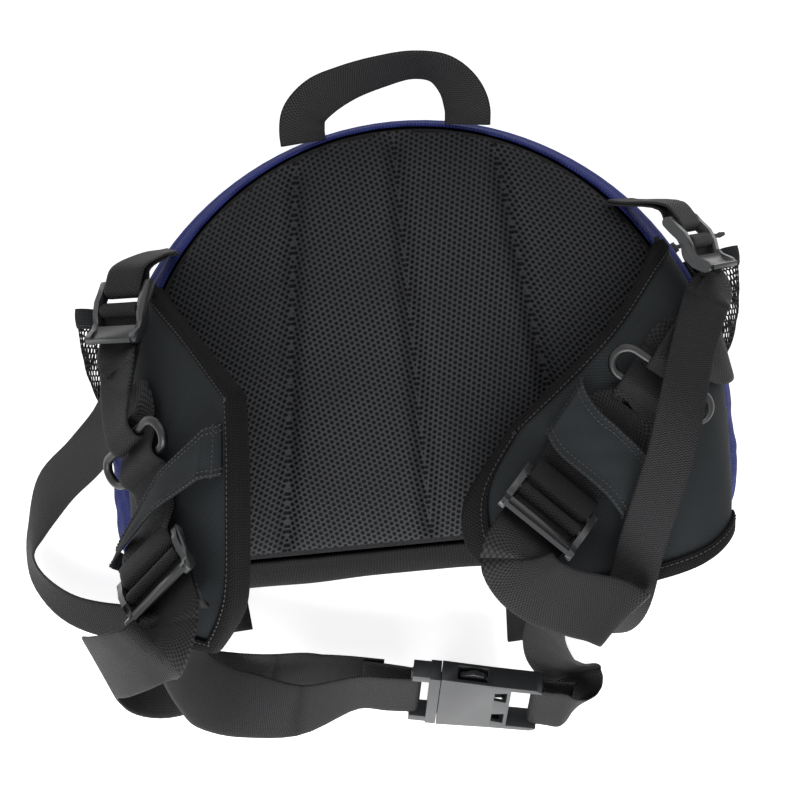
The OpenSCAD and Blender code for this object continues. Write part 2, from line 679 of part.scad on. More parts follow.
stabiliser_left = frame(grade([-154, 69, 119.5]), [-0.25, -0.92, 0.28], [-0.55, 0.05, 0.8]);
stabiliser_right = frame(grade([156, 76, 123]), [0.45, -0.85, 0.2], [0.71, 0.48, 0.47]);
belt_left = frame(grade([-144, -72, 180]), [0.22, -0.6, 0.75], [-0.62, 0.48, 0.55]);
belt_right = frame(grade([61, -58, 167]), [-0.52, -0.54, 0.66], [0.6, 0.6, 0.6]);
module stabiliser_lock_left() { color(plastic) at(stabiliser_left) ladder_lock(strap_w); }
module stabiliser_lock_right() { color(plastic) at(stabiliser_right) ladder_lock(strap_w); }
module belt_lock_left() { color(plastic) at(belt_left) ladder_lock(belt_w); }
module belt_lock_right() { color(plastic) at(belt_right) ladder_lock(belt_w); }

// Anchor tabs: webbing from the back seam round a stabiliser lock's anchor bar and back
module anchor_tab(f, seat) {
    loop = in_lock(f, anchor_wrap);
    upper = step(grade(seat) + f[3] * 1.1, f[1]);
    lower = step(grade(seat) - f[3] * 1.1, f[1]);
    color(webbing) ribbon(concat([upper], loop, [lower]), strap_w);
}
module anchor_tab_left() { anchor_tab(stabiliser_left, [-136, 98, 103]); }
module anchor_tab_right() { anchor_tab(stabiliser_right, [124, 102, 104.5]); }

// Strap rings: a long oval of round bar, threaded on the load webbing above the wing
ring_half = 21;
ring_y = 8;
ring_lift = 8.5;
ring_tilt = 0.4;
function ring_frame(side, a, b, y) =
    let (out = wing_out(side, a, b))
    frame(wing_skin(side, a, b, ring_lift), y + out * ring_tilt, out);
ring_left = ring_frame(-1, 0.5, 0.48, [-0.12, 0.9, -0.42]);
ring_right = ring_frame(1, 0.625, 0.38, [0.62, 0.78, -0.1]);
module strap_ring(f) {
    color(plastic) at(f) {
        for (s = [-1, 1]) translate([-ring_half, s * ring_y, 0]) rotate([0, 90, 0])
            cylinder(r = ring_r, h = 2 * ring_half);
        for (s = [0, 180]) rotate([0, 0, s]) translate([ring_half, 0, 0]) rotate([0, 0, -90])
            rotate_extrude(angle = 180) translate([ring_y, 0]) circle(ring_r);
    }
}
module strap_ring_left() { strap_ring(ring_left); }
module strap_ring_right() { strap_ring(ring_right); }
// Webbing round a ring's bar on the side of the stabiliser lock
ring_wrap_r = ring_r + web_t / 2 + clear;
function ring_wrap(f) = [for (q = concat(
        [[ring_y + 9, -1.6], [ring_y + 5, -3]],
        round_bar(ring_y, 0, ring_wrap_r, [-90, -135, 180, 135, 90]),
        [[ring_y + 6, 3.6]]))
    step(place(f, [0, q[0], q[1]]), f[1])];

// Load webbing: from the side of the bag under one bar of the ring and over the other, through the tunnel,
// round the belt lock's anchor bar
ring_thread = [[20, -13.4], [12, -9.6], [8, -6.9], [4, -5],
    [0, -1.5], [-4.5, 2.6], [-8, 4], [-11.5, 2.6], [-15, 0.4], [-22, 1.8]];
function on_wing(side, stop, heading) =
    step(wing_skin(side, stop[0], stop[1], stop[2]), unit(cross(wing_out(side, stop[0], stop[1]), heading)));
module load_webbing(side, lock, ring, before_ring, after_ring) {
    loop = in_lock(lock, anchor_wrap, -1);
    n = len(loop);
    route = concat(
        [for (s = before_ring) on_wing(side, s, wing_at(side, s[0] + 0.1, s[1]) - wing_at(side, s[0], s[1]))],
        [for (q = ring_thread) step(place(ring, [0, q[0], q[1]]), ring[1])],
        [for (s = after_ring) on_wing(side, s, lock[2])],
        [for (k = [n - 1:-1:0]) loop[k]]);
    color(webbing) ribbon(fair(route, 2), belt_w);
}
module load_webbing_left() {
    load_webbing(-1, belt_left, ring_left, [[0.1, 0.47, 1.8], [0.24, 0.465, 2.3]], [[0.585, 0.665, 3.4]]);
}
module load_webbing_right() {
    load_webbing(1, belt_right, ring_right, [[0.1, 0.44, 3.0], [0.24, 0.43, 3.8], [0.36, 0.42, 3.8]],
        [[0.77, 0.36, 2.8]]);
}

// Stabiliser straps: round the ring, up to the lock, over its centre bar and out as a tail
module stabiliser_strap(ring, lock, tail) {
    route = concat(ring_wrap(ring), in_lock(lock, load_wrap, -1), tail);
    color(webbing) ribbon(fair(route, 2), strap_w);
}
left_tail = [
    graded(-156, 38, 135, [0.5, -0.2, 0.8]),
    graded(-161, 23, 134, [0.45, -0.45, 0.73]),
    graded(-170, 7, 118, [0.55, -0.55, 0.6]),
    graded(-185, -7, 90, [0.7, -0.64, 0.25]),
    graded(-207, -23, 58, [0.65, -0.6, 0.35]),
    graded(-222, -42, 35, [0.45, -0.35, 0.8]),
    graded(-229, -58, 24, [0.25, 0, 0.95]),
    graded(-226, -76, 19, [0.35, 0.3, 0.88]),
    graded(-212, -93, 17, [0.4, 0.55, 0.7]),
    graded(-190, -103, 16, [0.3, 0.78, 0.55]),
    graded(-150, -108, 15, [0.12, 0.85, 0.5]),
    graded(-108, -106, 14, [0.05, 0.87, 0.48])
];
right_tail = [
    graded(157, 44, 142, [0.75, 0.3, -0.55]),
    graded(145, 18, 161, [0.9, 0, -0.4]),
    graded(136, -8, 171, [0.95, -0.25, -0.15]),
    graded(128, -33, 172, [0.93, -0.33, 0]),
    graded(118, -58, 166, [0.92, -0.37, 0]),
    graded(108.5, -83, 154, [0.92, -0.38, 0]),
    graded(100, -110, 140.5, [0.92, -0.38, 0]),
    graded(92, -122, 119, [0.9, -0.42, 0.05]),
    graded(81, -124, 92, [0.8, -0.5, 0.2]),
    graded(61, -121, 57, [0.6, -0.6, 0.5]),
    graded(39, -124, 30, [0.3, -0.75, 0.55])
];
module stabiliser_strap_left() { stabiliser_strap(ring_left, stabiliser_left, left_tail); }
module stabiliser_strap_right() { stabiliser_strap(ring_right, stabiliser_right, right_tail); }

// Side-release buckle. In its own frame X runs along the belt, Y across it, Z out of its face

buckle_at = grade([14, -165, 28]);
buckle_x = [cos(-11), sin(-11), 0];
buckle_up = [sin(-11) * cos(35), -cos(11) * cos(35), sin(35)];
buckle = [buckle_at, buckle_x, cross(buckle_up, buckle_x), buckle_up];
// Mouth of the female half, and the places of the strap bars
mouth_x = -18;
female_bar_x = mouth_x + female_l - bar_r;
male_bar_x = mouth_x - 15;
shell = 2.2;
cavity_t = buckle_t - 2 * shell;
tail_w = 43;
cavity_l = 36;
window_from = 9;
window_l = 17;
half_w = buckle_w / 2;

module female_outline() {
    end = mouth_x + female_l;
    polygon([[mouth_x, -half_w], [mouth_x + 9, -half_w + 0.6], [mouth_x + 30, -tail_w / 2 - 2.6],
        [end - 4, -tail_w / 2 - 2], [end - 1, -tail_w / 2], [end, -tail_w / 2 + 3],
        [end, tail_w / 2 - 3], [end - 1, tail_w / 2], [end - 4, tail_w / 2 + 2],
        [mouth_x + 30, tail_w / 2 + 2.6], [mouth_x + 9, half_w - 0.6], [mouth_x, half_w]]);
}
module block(x0, x1, y0, y1, z0, z1) { translate([x0, y0, z0]) cube([x1 - x0, y1 - y0, z1 - z0]); }
module female_body() {
    end = mouth_x + female_l;
    slot_in = lock_inside(belt_w) / 2;
    bar_half = bar_r * 0.7;
    difference() {
        translate([0, 0, -buckle_t / 2]) linear_extrude(buckle_t) female_outline();
        // Room for the male half
        block(mouth_x - 1, mouth_x + cavity_l, -half_w + shell, half_w - shell, -cavity_t / 2, cavity_t / 2);
        // Side windows for the arms' buttons
        for (s = [-1, 1]) block(mouth_x + window_from, mouth_x + window_from + window_l,
            s > 0 ? half_w - 9 : -half_w - 1, s > 0 ? half_w + 1 : 9 - half_w, -cavity_t / 2, cavity_t / 2);
        // Webbing slot in front of the end bar
        block(mouth_x + cavity_l + 4, female_bar_x - bar_half, -slot_in, slot_in, -buckle_t, buckle_t);
        // Thin the end bar's sides so that the webbing can leave flat
        for (s = [-1, 1]) block(female_bar_x - 2 * bar_r, end + 1, -slot_in, slot_in,
            s > 0 ? bar_half : -buckle_t, s > 0 ? buckle_t : -bar_half);
        // Lattice openings between the cavity and the slot
        for (s = [-1, 1]) translate([mouth_x + cavity_l - 5, s * 12, -buckle_t])
            linear_extrude(2 * buckle_t) polygon([[0, -4], [7, -5.5], [7, 5.5], [0, 4]]);
    }
}
module buckle_female() { color(plastic) at(buckle) female_body(); }

arm_y = 15;
arm_l = 25;
root_in = 2.7;
arm_root = mouth_x + root_in;
arm_h = cavity_t - 1.4;
guide_h = cavity_t - 1;
root_r = 1.5;
lug_t = 1.6;
module male_body() {
    end = male_bar_x - bar_r;
    slot_in = lock_inside(belt_w) / 2;
    stop = mouth_x - clear;
    difference() {
        union() {
            // Base plate against the mouth, side arms and the bar for the webbing
            block(stop - 6, stop, -half_w + 0.5, half_w - 0.5, -buckle_t / 2, buckle_t / 2);
            for (s = [-1, 1]) block(end + 1, stop - 5, s > 0 ? slot_in : -half_w + 0.5,
                s > 0 ? half_w - 0.5 : -slot_in, -buckle_t / 2 + 1, buckle_t / 2 - 1);
            translate([male_bar_x, -half_w + 2, 0]) rotate([-90, 0, 0])
                cylinder(r = bar_r, h = 2 * half_w - 4);
            // Centre guide
            block(stop - 1, mouth_x + 30, -3.5, 3.5, -guide_h / 2, guide_h / 2);
            // Lugs that carry the arms
            for (s = [-1, 1]) for (z = [-1, 1]) block(stop - 1, arm_root + 2.6, s * arm_y - 3, s * arm_y + 3,
                z > 0 ? arm_h / 2 - lug_t : -arm_h / 2, z > 0 ? arm_h / 2 : lug_t - arm_h / 2);
        }
        for (s = [-1, 1]) translate([arm_root, s * arm_y, -buckle_t]) cylinder(r = root_r, h = 2 * buckle_t);
    }
}
module buckle_male() { color(plastic) at(buckle) male_body(); }
// A flexing arm: root eye, blade, button in the window and a catch behind it
module male_arm(s) {
    web = arm_h - 2 * lug_t - 2 * clear;
    window_in = window_from - root_in;
    window_end = window_in + window_l;
    mirror([0, s > 0 ? 0 : 1, 0]) translate([arm_root, arm_y, 0]) {
        translate([0, 0, -arm_h / 2]) cylinder(r = root_r - 0.15, h = arm_h);
        translate([0, 0, -web / 2]) linear_extrude(web) {
            circle(2.4);
            polygon([[0, -2.2], [8, -1], [arm_l - 1, 1], [arm_l, 3], [window_end - 2.5, half_w - arm_y - 1],
                [window_in + 9, half_w - arm_y + 0.6],
                [window_in + 1.5, half_w - arm_y - 2.6], [6, 3.4], [0, 2.2]]);
        }
    }
}
module buckle_arm_upper() { color(plastic) at(buckle) male_arm(1); }
module buckle_arm_lower() { color(plastic) at(buckle) male_arm(-1); }

// Waist straps
function in_buckle(route) = [for (q = route) step(place(buckle, [q[0], 0, q[1]]), buckle[2])];
male_wrap = concat(
    [[male_bar_x - 30, -5], [male_bar_x - 14, -4.4], [male_bar_x - 4, -3.8]],
    round_bar(male_bar_x, 0, wrap_r, [-100, -60, -20, 20, 60, 100]),
    [[male_bar_x - 4, 3.8], [male_bar_x - 14, 4.4], [male_bar_x - 30, 5]]
);
// Lapped end of the left strap, sewn behind its back strand
lap = [[male_bar_x - 58, -6], [male_bar_x - 40, -7.2], [male_bar_x - 18, -7.2]];
female_wrap = concat(
    [[female_bar_x + 20, -4.4], [female_bar_x + 12, -4], [female_bar_x + 4, -3.8]],
    round_bar(female_bar_x, 0, wrap_r, [-100, -140, 180, 140, 100]),
    [[female_bar_x + 4, 3.7], [female_bar_x + 12, 4]]
);
left_front_leg = [
    graded(-84, -163, 40, [0.05, 0.6, 0.8]),
    graded(-117, -153, 66, [0.2, 0.55, 0.77]),
    graded(-135, -142, 101, [0.5, 0.25, 0.75]),
    graded(-140, -130, 137, [0.75, -0.1, 0.6]),
    graded(-138, -117, 168, [0.82, -0.26, 0.52]),
    graded(-134, -102, 187, [0.85, 0, 0.4])
];
left_tail_leg = [
    graded(-137, -95, 205, [0.8, 0.5, 0.25]),
    graded(-144, -106, 208, [0.85, 0.1, 0.3]),
    graded(-159, -112, 195, [0.75, -0.5, 0.25]),
    graded(-174, -117, 165, [0.5, -0.8, 0.1]),
    graded(-184, -121, 124, [0.4, -0.9, 0]),
    graded(-179, -130, 94, [0.4, -0.9, -0.05]),
    graded(-158, -138, 67, [0.3, -0.9, -0.25]),
    graded(-130, -140, 47, [0.1, -0.8, -0.55]),
    graded(-98, -142, 36, [0, -0.65, -0.75])
];
module waist_strap_left() {
    tail = [for (q = lap) step(place(buckle, [q[0], 0, q[1]]), -buckle[2])];
    route = concat(in_buckle(male_wrap), left_front_leg,
        in_lock(belt_left, load_wrap, -1), left_tail_leg, tail);
    color(webbing) ribbon(fair(route, 2), belt_w);
}
right_leg = [
    graded(71, -177, 27, [0.1, 0.6, 0.8]),
    graded(77, -171, 31, [0.05, 0.6, 0.8]),
    graded(75, -160, 48, [-0.1, 0.65, 0.75]),
    graded(67, -150, 70, [-0.35, 0.7, 0.6]),
    graded(59, -138, 92, [-0.65, 0.65, 0.35]),
    graded(51, -122, 118, [-0.85, 0.5, 0.1]),
    graded(44, -103, 143, [-0.85, 0.5, 0.05]),
    graded(42, -85, 165, [-0.8, 0.6, 0])
];
right_tail_leg = [
    graded(42, -80, 184, [-0.8, 0.6, 0]),
    graded(47, -92, 182, [-0.98, 0.1, 0]),
    graded(59, -102, 176, [-0.92, -0.35, 0]),
    graded(73, -108, 168, [-0.84, -0.54, 0]),
    graded(86, -113, 161, [-0.8, -0.6, 0]),
    graded(96, -119, 154, [-0.8, -0.6, 0]),
    graded(94.5, -118, 149, [-0.8, -0.6, 0]),
    graded(87, -112, 152, [-0.8, -0.6, 0])
];
module waist_strap_right() {
    route = concat(in_buckle(female_wrap), right_leg, in_lock(belt_right, load_wrap), right_tail_leg);
    color(webbing) ribbon(fair(route, 2), belt_w);
}

gusset();
bottom_panel();
front_panel();
front_pocket();
back_mesh();
back_foam();
frame_sheet();
main_zip();
main_slider();
main_pull();
pocket_zip();
pocket_slider();
pocket_pull();
side_net_left();
side_net_right();
side_rim_left();
side_rim_right();
grab_handle();
wing_outer_left();
wing_outer_right();
wing_foam_left();
wing_foam_right();
wing_lining_left();
wing_lining_right();
wing_binding_left();
wing_binding_right();
wing_tunnel_left();
wing_tunnel_right();
load_webbing_left();
load_webbing_right();
strap_ring_left();
strap_ring_right();
belt_lock_left();
belt_lock_right();
anchor_tab_left();
anchor_tab_right();
stabiliser_lock_left();
stabiliser_lock_right();
stabiliser_strap_left();
stabiliser_strap_right();
waist_strap_left();
waist_strap_right();
buckle_female();
buckle_male();
buckle_arm_upper();
buckle_arm_lower();
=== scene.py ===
"""Dresses the waist pack: cloth, air mesh, webbing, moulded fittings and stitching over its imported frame."""

from __future__ import annotations

import logging
import math
from abc import ABC, abstractmethod
from dataclasses import dataclass, field
from enum import Enum
from typing import Callable, Sequence

import bmesh
import bpy
import numpy as np
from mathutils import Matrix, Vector


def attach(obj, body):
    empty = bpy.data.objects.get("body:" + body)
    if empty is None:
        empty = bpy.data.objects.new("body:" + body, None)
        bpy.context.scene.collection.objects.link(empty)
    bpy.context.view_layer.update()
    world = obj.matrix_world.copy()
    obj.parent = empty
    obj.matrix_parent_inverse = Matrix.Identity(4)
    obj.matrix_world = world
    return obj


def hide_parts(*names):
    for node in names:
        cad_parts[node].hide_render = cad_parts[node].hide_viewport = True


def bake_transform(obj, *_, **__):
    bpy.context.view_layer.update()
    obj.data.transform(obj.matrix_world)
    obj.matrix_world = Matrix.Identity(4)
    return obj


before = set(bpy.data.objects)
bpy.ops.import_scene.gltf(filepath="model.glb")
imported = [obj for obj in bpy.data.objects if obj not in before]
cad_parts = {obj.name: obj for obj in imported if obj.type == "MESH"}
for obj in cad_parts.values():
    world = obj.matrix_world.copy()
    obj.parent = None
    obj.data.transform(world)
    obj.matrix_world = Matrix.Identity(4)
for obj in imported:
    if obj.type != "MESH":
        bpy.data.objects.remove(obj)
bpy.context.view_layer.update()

LOG = logging.getLogger("waist_pack")
MM = 0.001
TURN = 2 * math.pi
BELT_WIDTH = 38
STRAP_WIDTH = 25
SEWING_PITCH = 2.6
THREAD_WIDTH = 0.75
STITCH_SHARE = 0.72
TOOTH_PITCH = 1.7
TOOTH_SIZE = (2.4, 1.5, 1.1)
NET_THREAD_RADIUS = 0.42
RGB = tuple[float, float, float]
Array = np.ndarray
Piece = bpy.types.Object


class Side(Enum):
    """A side of the bag, with the sign of its X."""

    LEFT = -1
    RIGHT = 1

    @property
    def tag(self) -> str:
        """Name ending used by the nodes and bodies of this side."""
        return self.name.lower()

    @property
    def wing(self) -> str:
        """Body of the wing on this side."""
        return f"wing_{self.tag}"


class Repeat(Enum):
    """Small shape repeated along a line."""

    STITCH = "stitch"
    TOOTH = "tooth"


# Small vector helpers


def unit(v: Array) -> Array:
    """Returns v at length one."""
    return v / max(float(np.linalg.norm(v)), 1e-9)


def run_along(line: Array) -> Array:
    """Returns the distance run at each place of a line."""
    return np.concatenate([[0.0], np.cumsum(np.linalg.norm(np.diff(line, axis=0), axis=1))])


def mix(a, b, share: float):
    """Returns the value at a share of the way from a to b."""
    return a + (b - a) * share


def smooth(x: float) -> float:
    """Returns a soft step from 0 to 1 for x from 0 to 1."""
    x = min(max(x, 0.0), 1.0)
    return x * x * (3 - 2 * x)


def tint(red: int, green: int, blue: int) -> RGB:
    """Returns a display colour of 0 to 255 steps as scene-linear values."""
    parts = [c / 255 for c in (red, green, blue)]
    return tuple(c / 12.92 if c <= 0.04045 else ((c + 0.055) / 1.055) ** 2.4 for c in parts)


def ripple(x: float, y: float, seed: float) -> float:
    """Returns an irregular wave between about -1 and 1, for creases in cloth."""
    return (
        math.sin(x * 1.7 + seed + 1.3 * math.sin(y * 0.9 + seed * 2.1))
        + 0.6 * math.sin(y * 2.3 - x * 0.8 + seed * 3.7)
        + 0.4 * math.sin(x * 3.9 + y * 3.1 + seed * 5.3)
    ) / 2


# Shader graphs


class Signal:
    """A shader socket that joins in arithmetic."""

    def __init__(self, graph: "Graph", socket: bpy.types.NodeSocket) -> None:
        self.graph = graph
        self.socket = socket

    def __add__(self, other):
        return self.graph.math("ADD", self, other)

    __radd__ = __add__

    def __sub__(self, other):
        return self.graph.math("SUBTRACT", self, other)

    def __rsub__(self, other):
        return self.graph.math("SUBTRACT", other, self)

    def __mul__(self, other):
        return self.graph.math("MULTIPLY", self, other)

    __rmul__ = __mul__

    def __truediv__(self, other):
        return self.graph.math("DIVIDE", self, other)

    def __rtruediv__(self, other):
        return self.graph.math("DIVIDE", other, self)

    def wave(self) -> "Signal":
        """Returns a sine wave of this value, from 0 to 1."""
        return self.graph.math("SINE", self) * 0.5 + 0.5

    def floor(self) -> "Signal":
        """Returns this value rounded down."""
        return self.graph.math("FLOOR", self)

    def fract(self) -> "Signal":
        """Returns the part of this value after the point."""
        return self.graph.math("FRACT", self)

    def odd(self) -> "Signal":
        """Returns 1 in every second whole step of this value, else 0."""
        return self.graph.math("FLOORED_MODULO", self.floor(), 2.0)

    def root(self) -> "Signal":
        """Returns the square root of this value."""
        return self.graph.math("SQRT", self)


class Graph:
    """One material's node tree round its Principled shader."""

    def __init__(self, name: str) -> None:
        self.material = bpy.data.materials.new(name)
        self.material.use_nodes = True
        self.tree = self.material.node_tree
        self.shader = self.tree.nodes["Principled BSDF"]

    def feed(self, socket: bpy.types.NodeSocket, value) -> None:
        """Links a signal into a socket, or sets the socket to a constant."""
        if isinstance(value, Signal):
            self.tree.links.new(value.socket, socket)
        else:
            socket.default_value = value

    def node(self, kind: str, output, inputs: dict, **settings) -> Signal:
        """Adds a node.

        Args:
            kind: node type without its ShaderNode prefix.
            output: name or index of the output to return.
            inputs: values or signals by input name or index.
            settings: properties of the node.

        Returns:
            The chosen output.
        """
        made = self.tree.nodes.new("ShaderNode" + kind)
        for key, value in settings.items():
            setattr(made, key, value)
        for key, value in inputs.items():
            self.feed(made.inputs[key], value)
        return Signal(self, made.outputs[output])

    def math(self, operation: str, *values) -> Signal:
        """Returns the result of a maths operation on values and signals."""
        return self.node("Math", 0, dict(enumerate(values)), operation=operation)

    def step(self, value, low: float, high: float) -> Signal:
        """Returns a soft step of a value, 0 at low and 1 at high."""
        inputs = {"Value": value, "From Min": low, "From Max": high}
        return self.node("MapRange", 0, inputs, interpolation_type="SMOOTHSTEP")

    def uv(self) -> tuple[Signal, Signal]:
        """Returns the two UV values of a piece, which are in millimetres."""
        place = self.node("TexCoord", "UV", {})
        return (
            self.node("SeparateXYZ", 0, {0: place}),
            self.node("SeparateXYZ", 1, {0: place}),
        )

    def noise(self, scale: float, detail: float = 3.0) -> Signal:
        """Returns noise over the object's own coordinates."""
        place = self.node("TexCoord", "Object", {})
        return self.node("TexNoise", 0, {"Vector": place, "Scale": scale, "Detail": detail})

    def blend(self, share, low: RGB, high: RGB) -> Signal:
        """Returns a colour between two colours."""
        return self.node("Mix", 2, {0: share, 6: (*low, 1), 7: (*high, 1)}, data_type="RGBA")

    def seen(self) -> Signal:
        """Returns 1 for rays that show the surface directly, in a reflection or through glass."""
        kinds = ("Is Camera Ray", "Is Glossy Ray", "Is Transmission Ray")
        camera, glossy, through = (self.node("LightPath", kind, {}) for kind in kinds)
        return self.math("MAXIMUM", self.math("MAXIMUM", camera, glossy), through)

    def bump(self, height) -> Signal:
        """Returns a normal bent by a height in metres."""
        return self.node("Bump", 0, {"Height": height, "Distance": 1.0, "Strength": 1.0})

    def shade(self, **inputs) -> bpy.types.Material:
        """Feeds the shader's inputs, named with _ for spaces, and returns the material."""
        for key, value in inputs.items():
            self.feed(self.shader.inputs[key.replace("_", " ")], value)
        return self.material


# Finishes


TONE_SCALE = 38.0
FUZZ_SCALE = 900.0
FOLD_SCALE = 20.0


@dataclass(frozen=True)
class Finish(ABC):
    """A material of the pack: colour of its raised parts, a darker colour painted as shade in its sunk parts,
    roughness and relief depth.
    """

    name: str
    slot: str
    high: RGB
    # low: darker colour of the sunk parts, a painted shade in the recesses of the relief.
    low: RGB
    rough: float = 0.8
    depth: float = 0.0003
    gloss: float = 0.12
    fold: float = 0.0

    @abstractmethod
    def relief(self, graph: Graph) -> Signal:
        """Returns the surface height, from 0 to 1."""

    def build(self) -> bpy.types.Material:
        """Returns the material with its weave or grain, painted shade in the sunk parts of its relief, worn
        tone and roughness.
        """
        graph = Graph(self.name)
        height = self.relief(graph)
        tone = graph.noise(TONE_SCALE, 4.0)
        fuzz = graph.noise(FUZZ_SCALE, 2.0)
        # Colour follows the relief height: sunk parts take the low colour as painted shade in the recesses.
        share = graph.step(height, 0.0, 1.0) * (tone * 0.5 + 0.65) + (fuzz - 0.5) * 0.25
        rise = (height + fuzz * 0.3) * self.depth + graph.noise(FOLD_SCALE, 2.0) * self.fold
        return graph.shade(
            Base_Color=graph.blend(share, self.low, self.high),
            Roughness=tone * 0.16 + (self.rough - 0.08),
            Normal=graph.bump(rise),
            Specular_IOR_Level=self.gloss,
        )


@dataclass(frozen=True)
class Weave(Finish):
    """Woven cloth with a plain part and a twill part."""

    pitch: float = 1.2
    twill: float = 0.5

    def relief(self, graph: Graph) -> Signal:
        """Returns crossing threads with slanting ribs."""
        u, v = graph.uv()
        k = TURN / self.pitch
        plain = (u * k).wave() * (v * k).wave()
        slant = ((u + v) * (k * 0.72)).wave()
        return plain * (1 - self.twill) + slant * self.twill


@dataclass(frozen=True)
class Webbing(Finish):
    """Narrow woven strap: staggered ribs across it and firm edges."""

    rib: float = 1.3
    column: float = 1.6

    def relief(self, graph: Graph) -> Signal:
        """Returns rib ends that step from column to column."""
        u, v = graph.uv()
        shift = (u / self.column).odd() * 0.5
        rib = ((v / self.rib + shift) * TURN).wave()
        cord = (u * (TURN / self.column) + math.pi / 2).wave()
        return rib * 0.7 + rib * cord * 0.3


@dataclass(frozen=True)
class AirMesh(Finish):
    """Spacer mesh with staggered rows of round holes, slanting to both sides of each sewn channel."""

    along: float = 3.3
    rows: float = 2.45
    hole: float = 0.92
    slant: float = 0.42

    def relief(self, graph: Graph) -> Signal:
        """Returns 1 on the mesh and 0 in its holes."""
        u, v = graph.uv()
        cos, sin = math.cos(self.slant), math.sin(self.slant)
        row = (v * cos - u * sin) / self.rows
        place = (u * cos + v * sin) / self.along + row.odd() * 0.5
        p = (place.fract() - 0.5) * self.along
        q = (row.fract() - 0.5) * self.rows
        far = (p * p + q * q).root()
        # The holes take the finish's near-black low colour: painted shade for their depth.
        return graph.step(far, self.hole - 0.3, self.hole + 0.35)


@dataclass(frozen=True)
class Grain(Finish):
    """Moulded, coated or foamed surface with a fine grain."""

    grain: float = 1400.0
    coat: float = 0.0

    def relief(self, graph: Graph) -> Signal:
        """Returns fine noise over a broad waviness."""
        return graph.noise(self.grain, 2.0) * 0.6 + graph.noise(self.grain / 12, 2.0) * 0.4

    def build(self) -> bpy.types.Material:
        """Returns the material, with a sheen on top of the grain."""
        material = super().build()
        shader = material.node_tree.nodes["Principled BSDF"]
        shader.inputs["Coat Weight"].default_value = self.coat
        shader.inputs["Coat Roughness"].default_value = 0.35
        return material


# Each finish gives the colour of its raised parts, then the darker low colour painted as shade in its sunk
# parts.
FINISHES: tuple[Finish, ...] = (
    Weave(
        "blue_cloth", "blue_cloth", tint(74, 86, 176), tint(28, 34, 88),
        rough=0.7, depth=0.0003, gloss=0.2, fold=0.003, pitch=1.5, twill=0.35,
    ),
    Weave(
        "black_cloth", "black_cloth", tint(36, 37, 38), tint(12, 12, 13),
        rough=0.7, depth=0.0003, gloss=0.12, fold=0.002, pitch=1.7, twill=0.1,
    ),
    Weave(
        "wing_cloth", "charcoal_cloth", tint(56, 60, 63), tint(38, 41, 43),
        rough=0.7, depth=0.0001, gloss=0.14, fold=0.003, pitch=0.9, twill=0.6,
    ),
    Weave(
        "lining_cloth", "black_cloth", tint(36, 37, 39), tint(12, 12, 13),
        rough=0.85, depth=0.0003, gloss=0.1, fold=0.002, pitch=2.0, twill=0.2,
    ),
    Weave(
        "binding_tape", "binding", tint(46, 45, 46), tint(18, 17, 18),
        rough=0.85, depth=0.0003, gloss=0.12, fold=0.001, pitch=1.5, twill=0.3,
    ),
    Weave(
        "elastic_hem", "elastic", tint(50, 52, 55), tint(24, 25, 27),
        rough=0.8, depth=0.0003, gloss=0.12, fold=0.001, pitch=1.4, twill=0.0,
    ),
    Weave(
        "zip_tape", "zip_tape", tint(40, 40, 43), tint(16, 16, 18),
        rough=0.8, depth=0.0002, gloss=0.1, fold=0.0, pitch=1.3, twill=0.6,
    ),
    # The mesh's near-black low colour is painted shade in its holes.
    AirMesh(
        "air_mesh", "air_mesh", tint(61, 62, 65), tint(4, 4, 5),
        rough=0.75, depth=0.0006, gloss=0.14,
    ),
    Webbing(
        "webbing", "webbing", tint(57, 56, 58), tint(17, 17, 18),
        rough=0.62, depth=0.0003, gloss=0.16,
    ),
    Grain(
        "net_thread", "net", tint(30, 30, 32), tint(12, 12, 13),
        rough=0.7, depth=0.0001, gloss=0.2,
    ),
    Grain(
        "sewing_thread", "binding", tint(92, 91, 92), tint(52, 51, 52),
        rough=0.7, depth=0.0001, gloss=0.2,
    ),
    Grain(
        "lock_plastic", "plastic", tint(50, 51, 53), tint(32, 33, 35),
        rough=0.36, depth=0.00006, gloss=0.5, fold=0.0, grain=1600.0, coat=0.3,
    ),
    # The buckle's plastic is the lock plastic made lighter: a painted highlight for the light its face
    # reflects.
    Grain(
        "buckle_plastic_painted_highlight", "plastic", tint(60, 61, 63), tint(43, 44, 46),
        rough=0.4, depth=0.00006, gloss=0.5, fold=0.0, grain=1600.0, coat=0.2,
    ),
    Grain(
        "zip_metal", "plastic", tint(34, 34, 36), tint(18, 18, 20),
        rough=0.42, depth=0.00005, gloss=0.5, fold=0.0, grain=1200.0, coat=0.2,
    ),
    Grain(
        "coated_ring", "ring_metal", tint(20, 20, 22), tint(10, 10, 11),
        rough=0.35, depth=0.00004, gloss=0.5, fold=0.0, grain=900.0, coat=0.1,
    ),
    Grain(
        "foam_core", "foam", tint(70, 70, 72), tint(40, 40, 42),
        rough=0.95, depth=0.0005, gloss=0.1, fold=0.0, grain=700.0,
    ),
    Grain(
        "stiff_sheet", "sheet", tint(60, 60, 62), tint(44, 44, 46),
        rough=0.5, depth=0.0001, gloss=0.4, fold=0.0, grain=500.0,
    ),
)


class Finishes:
    """Materials by finish name, each made once."""

    def __init__(self, known: Sequence[Finish]) -> None:
        self.known = {f.name: f for f in known}
        self.made: dict[str, bpy.types.Material] = {}

    def get(self, name: str) -> bpy.types.Material:
        """Returns the material of a finish."""
        if name not in self.made:
            self.made[name] = self.known[name].build()
        return self.made[name]

    def paint(self, piece: Piece, name: str) -> None:
        """Gives a piece the material of a finish."""
        piece.data.materials.clear()
        piece.data.materials.append(self.get(name))


PAINT = Finishes(FINISHES)


# Meshes


def linked(name: str, data) -> Piece:
    """Returns a new object in the scene, at the origin."""
    made = bpy.data.objects.new(name, data)
    bpy.context.scene.collection.objects.link(made)
    return made


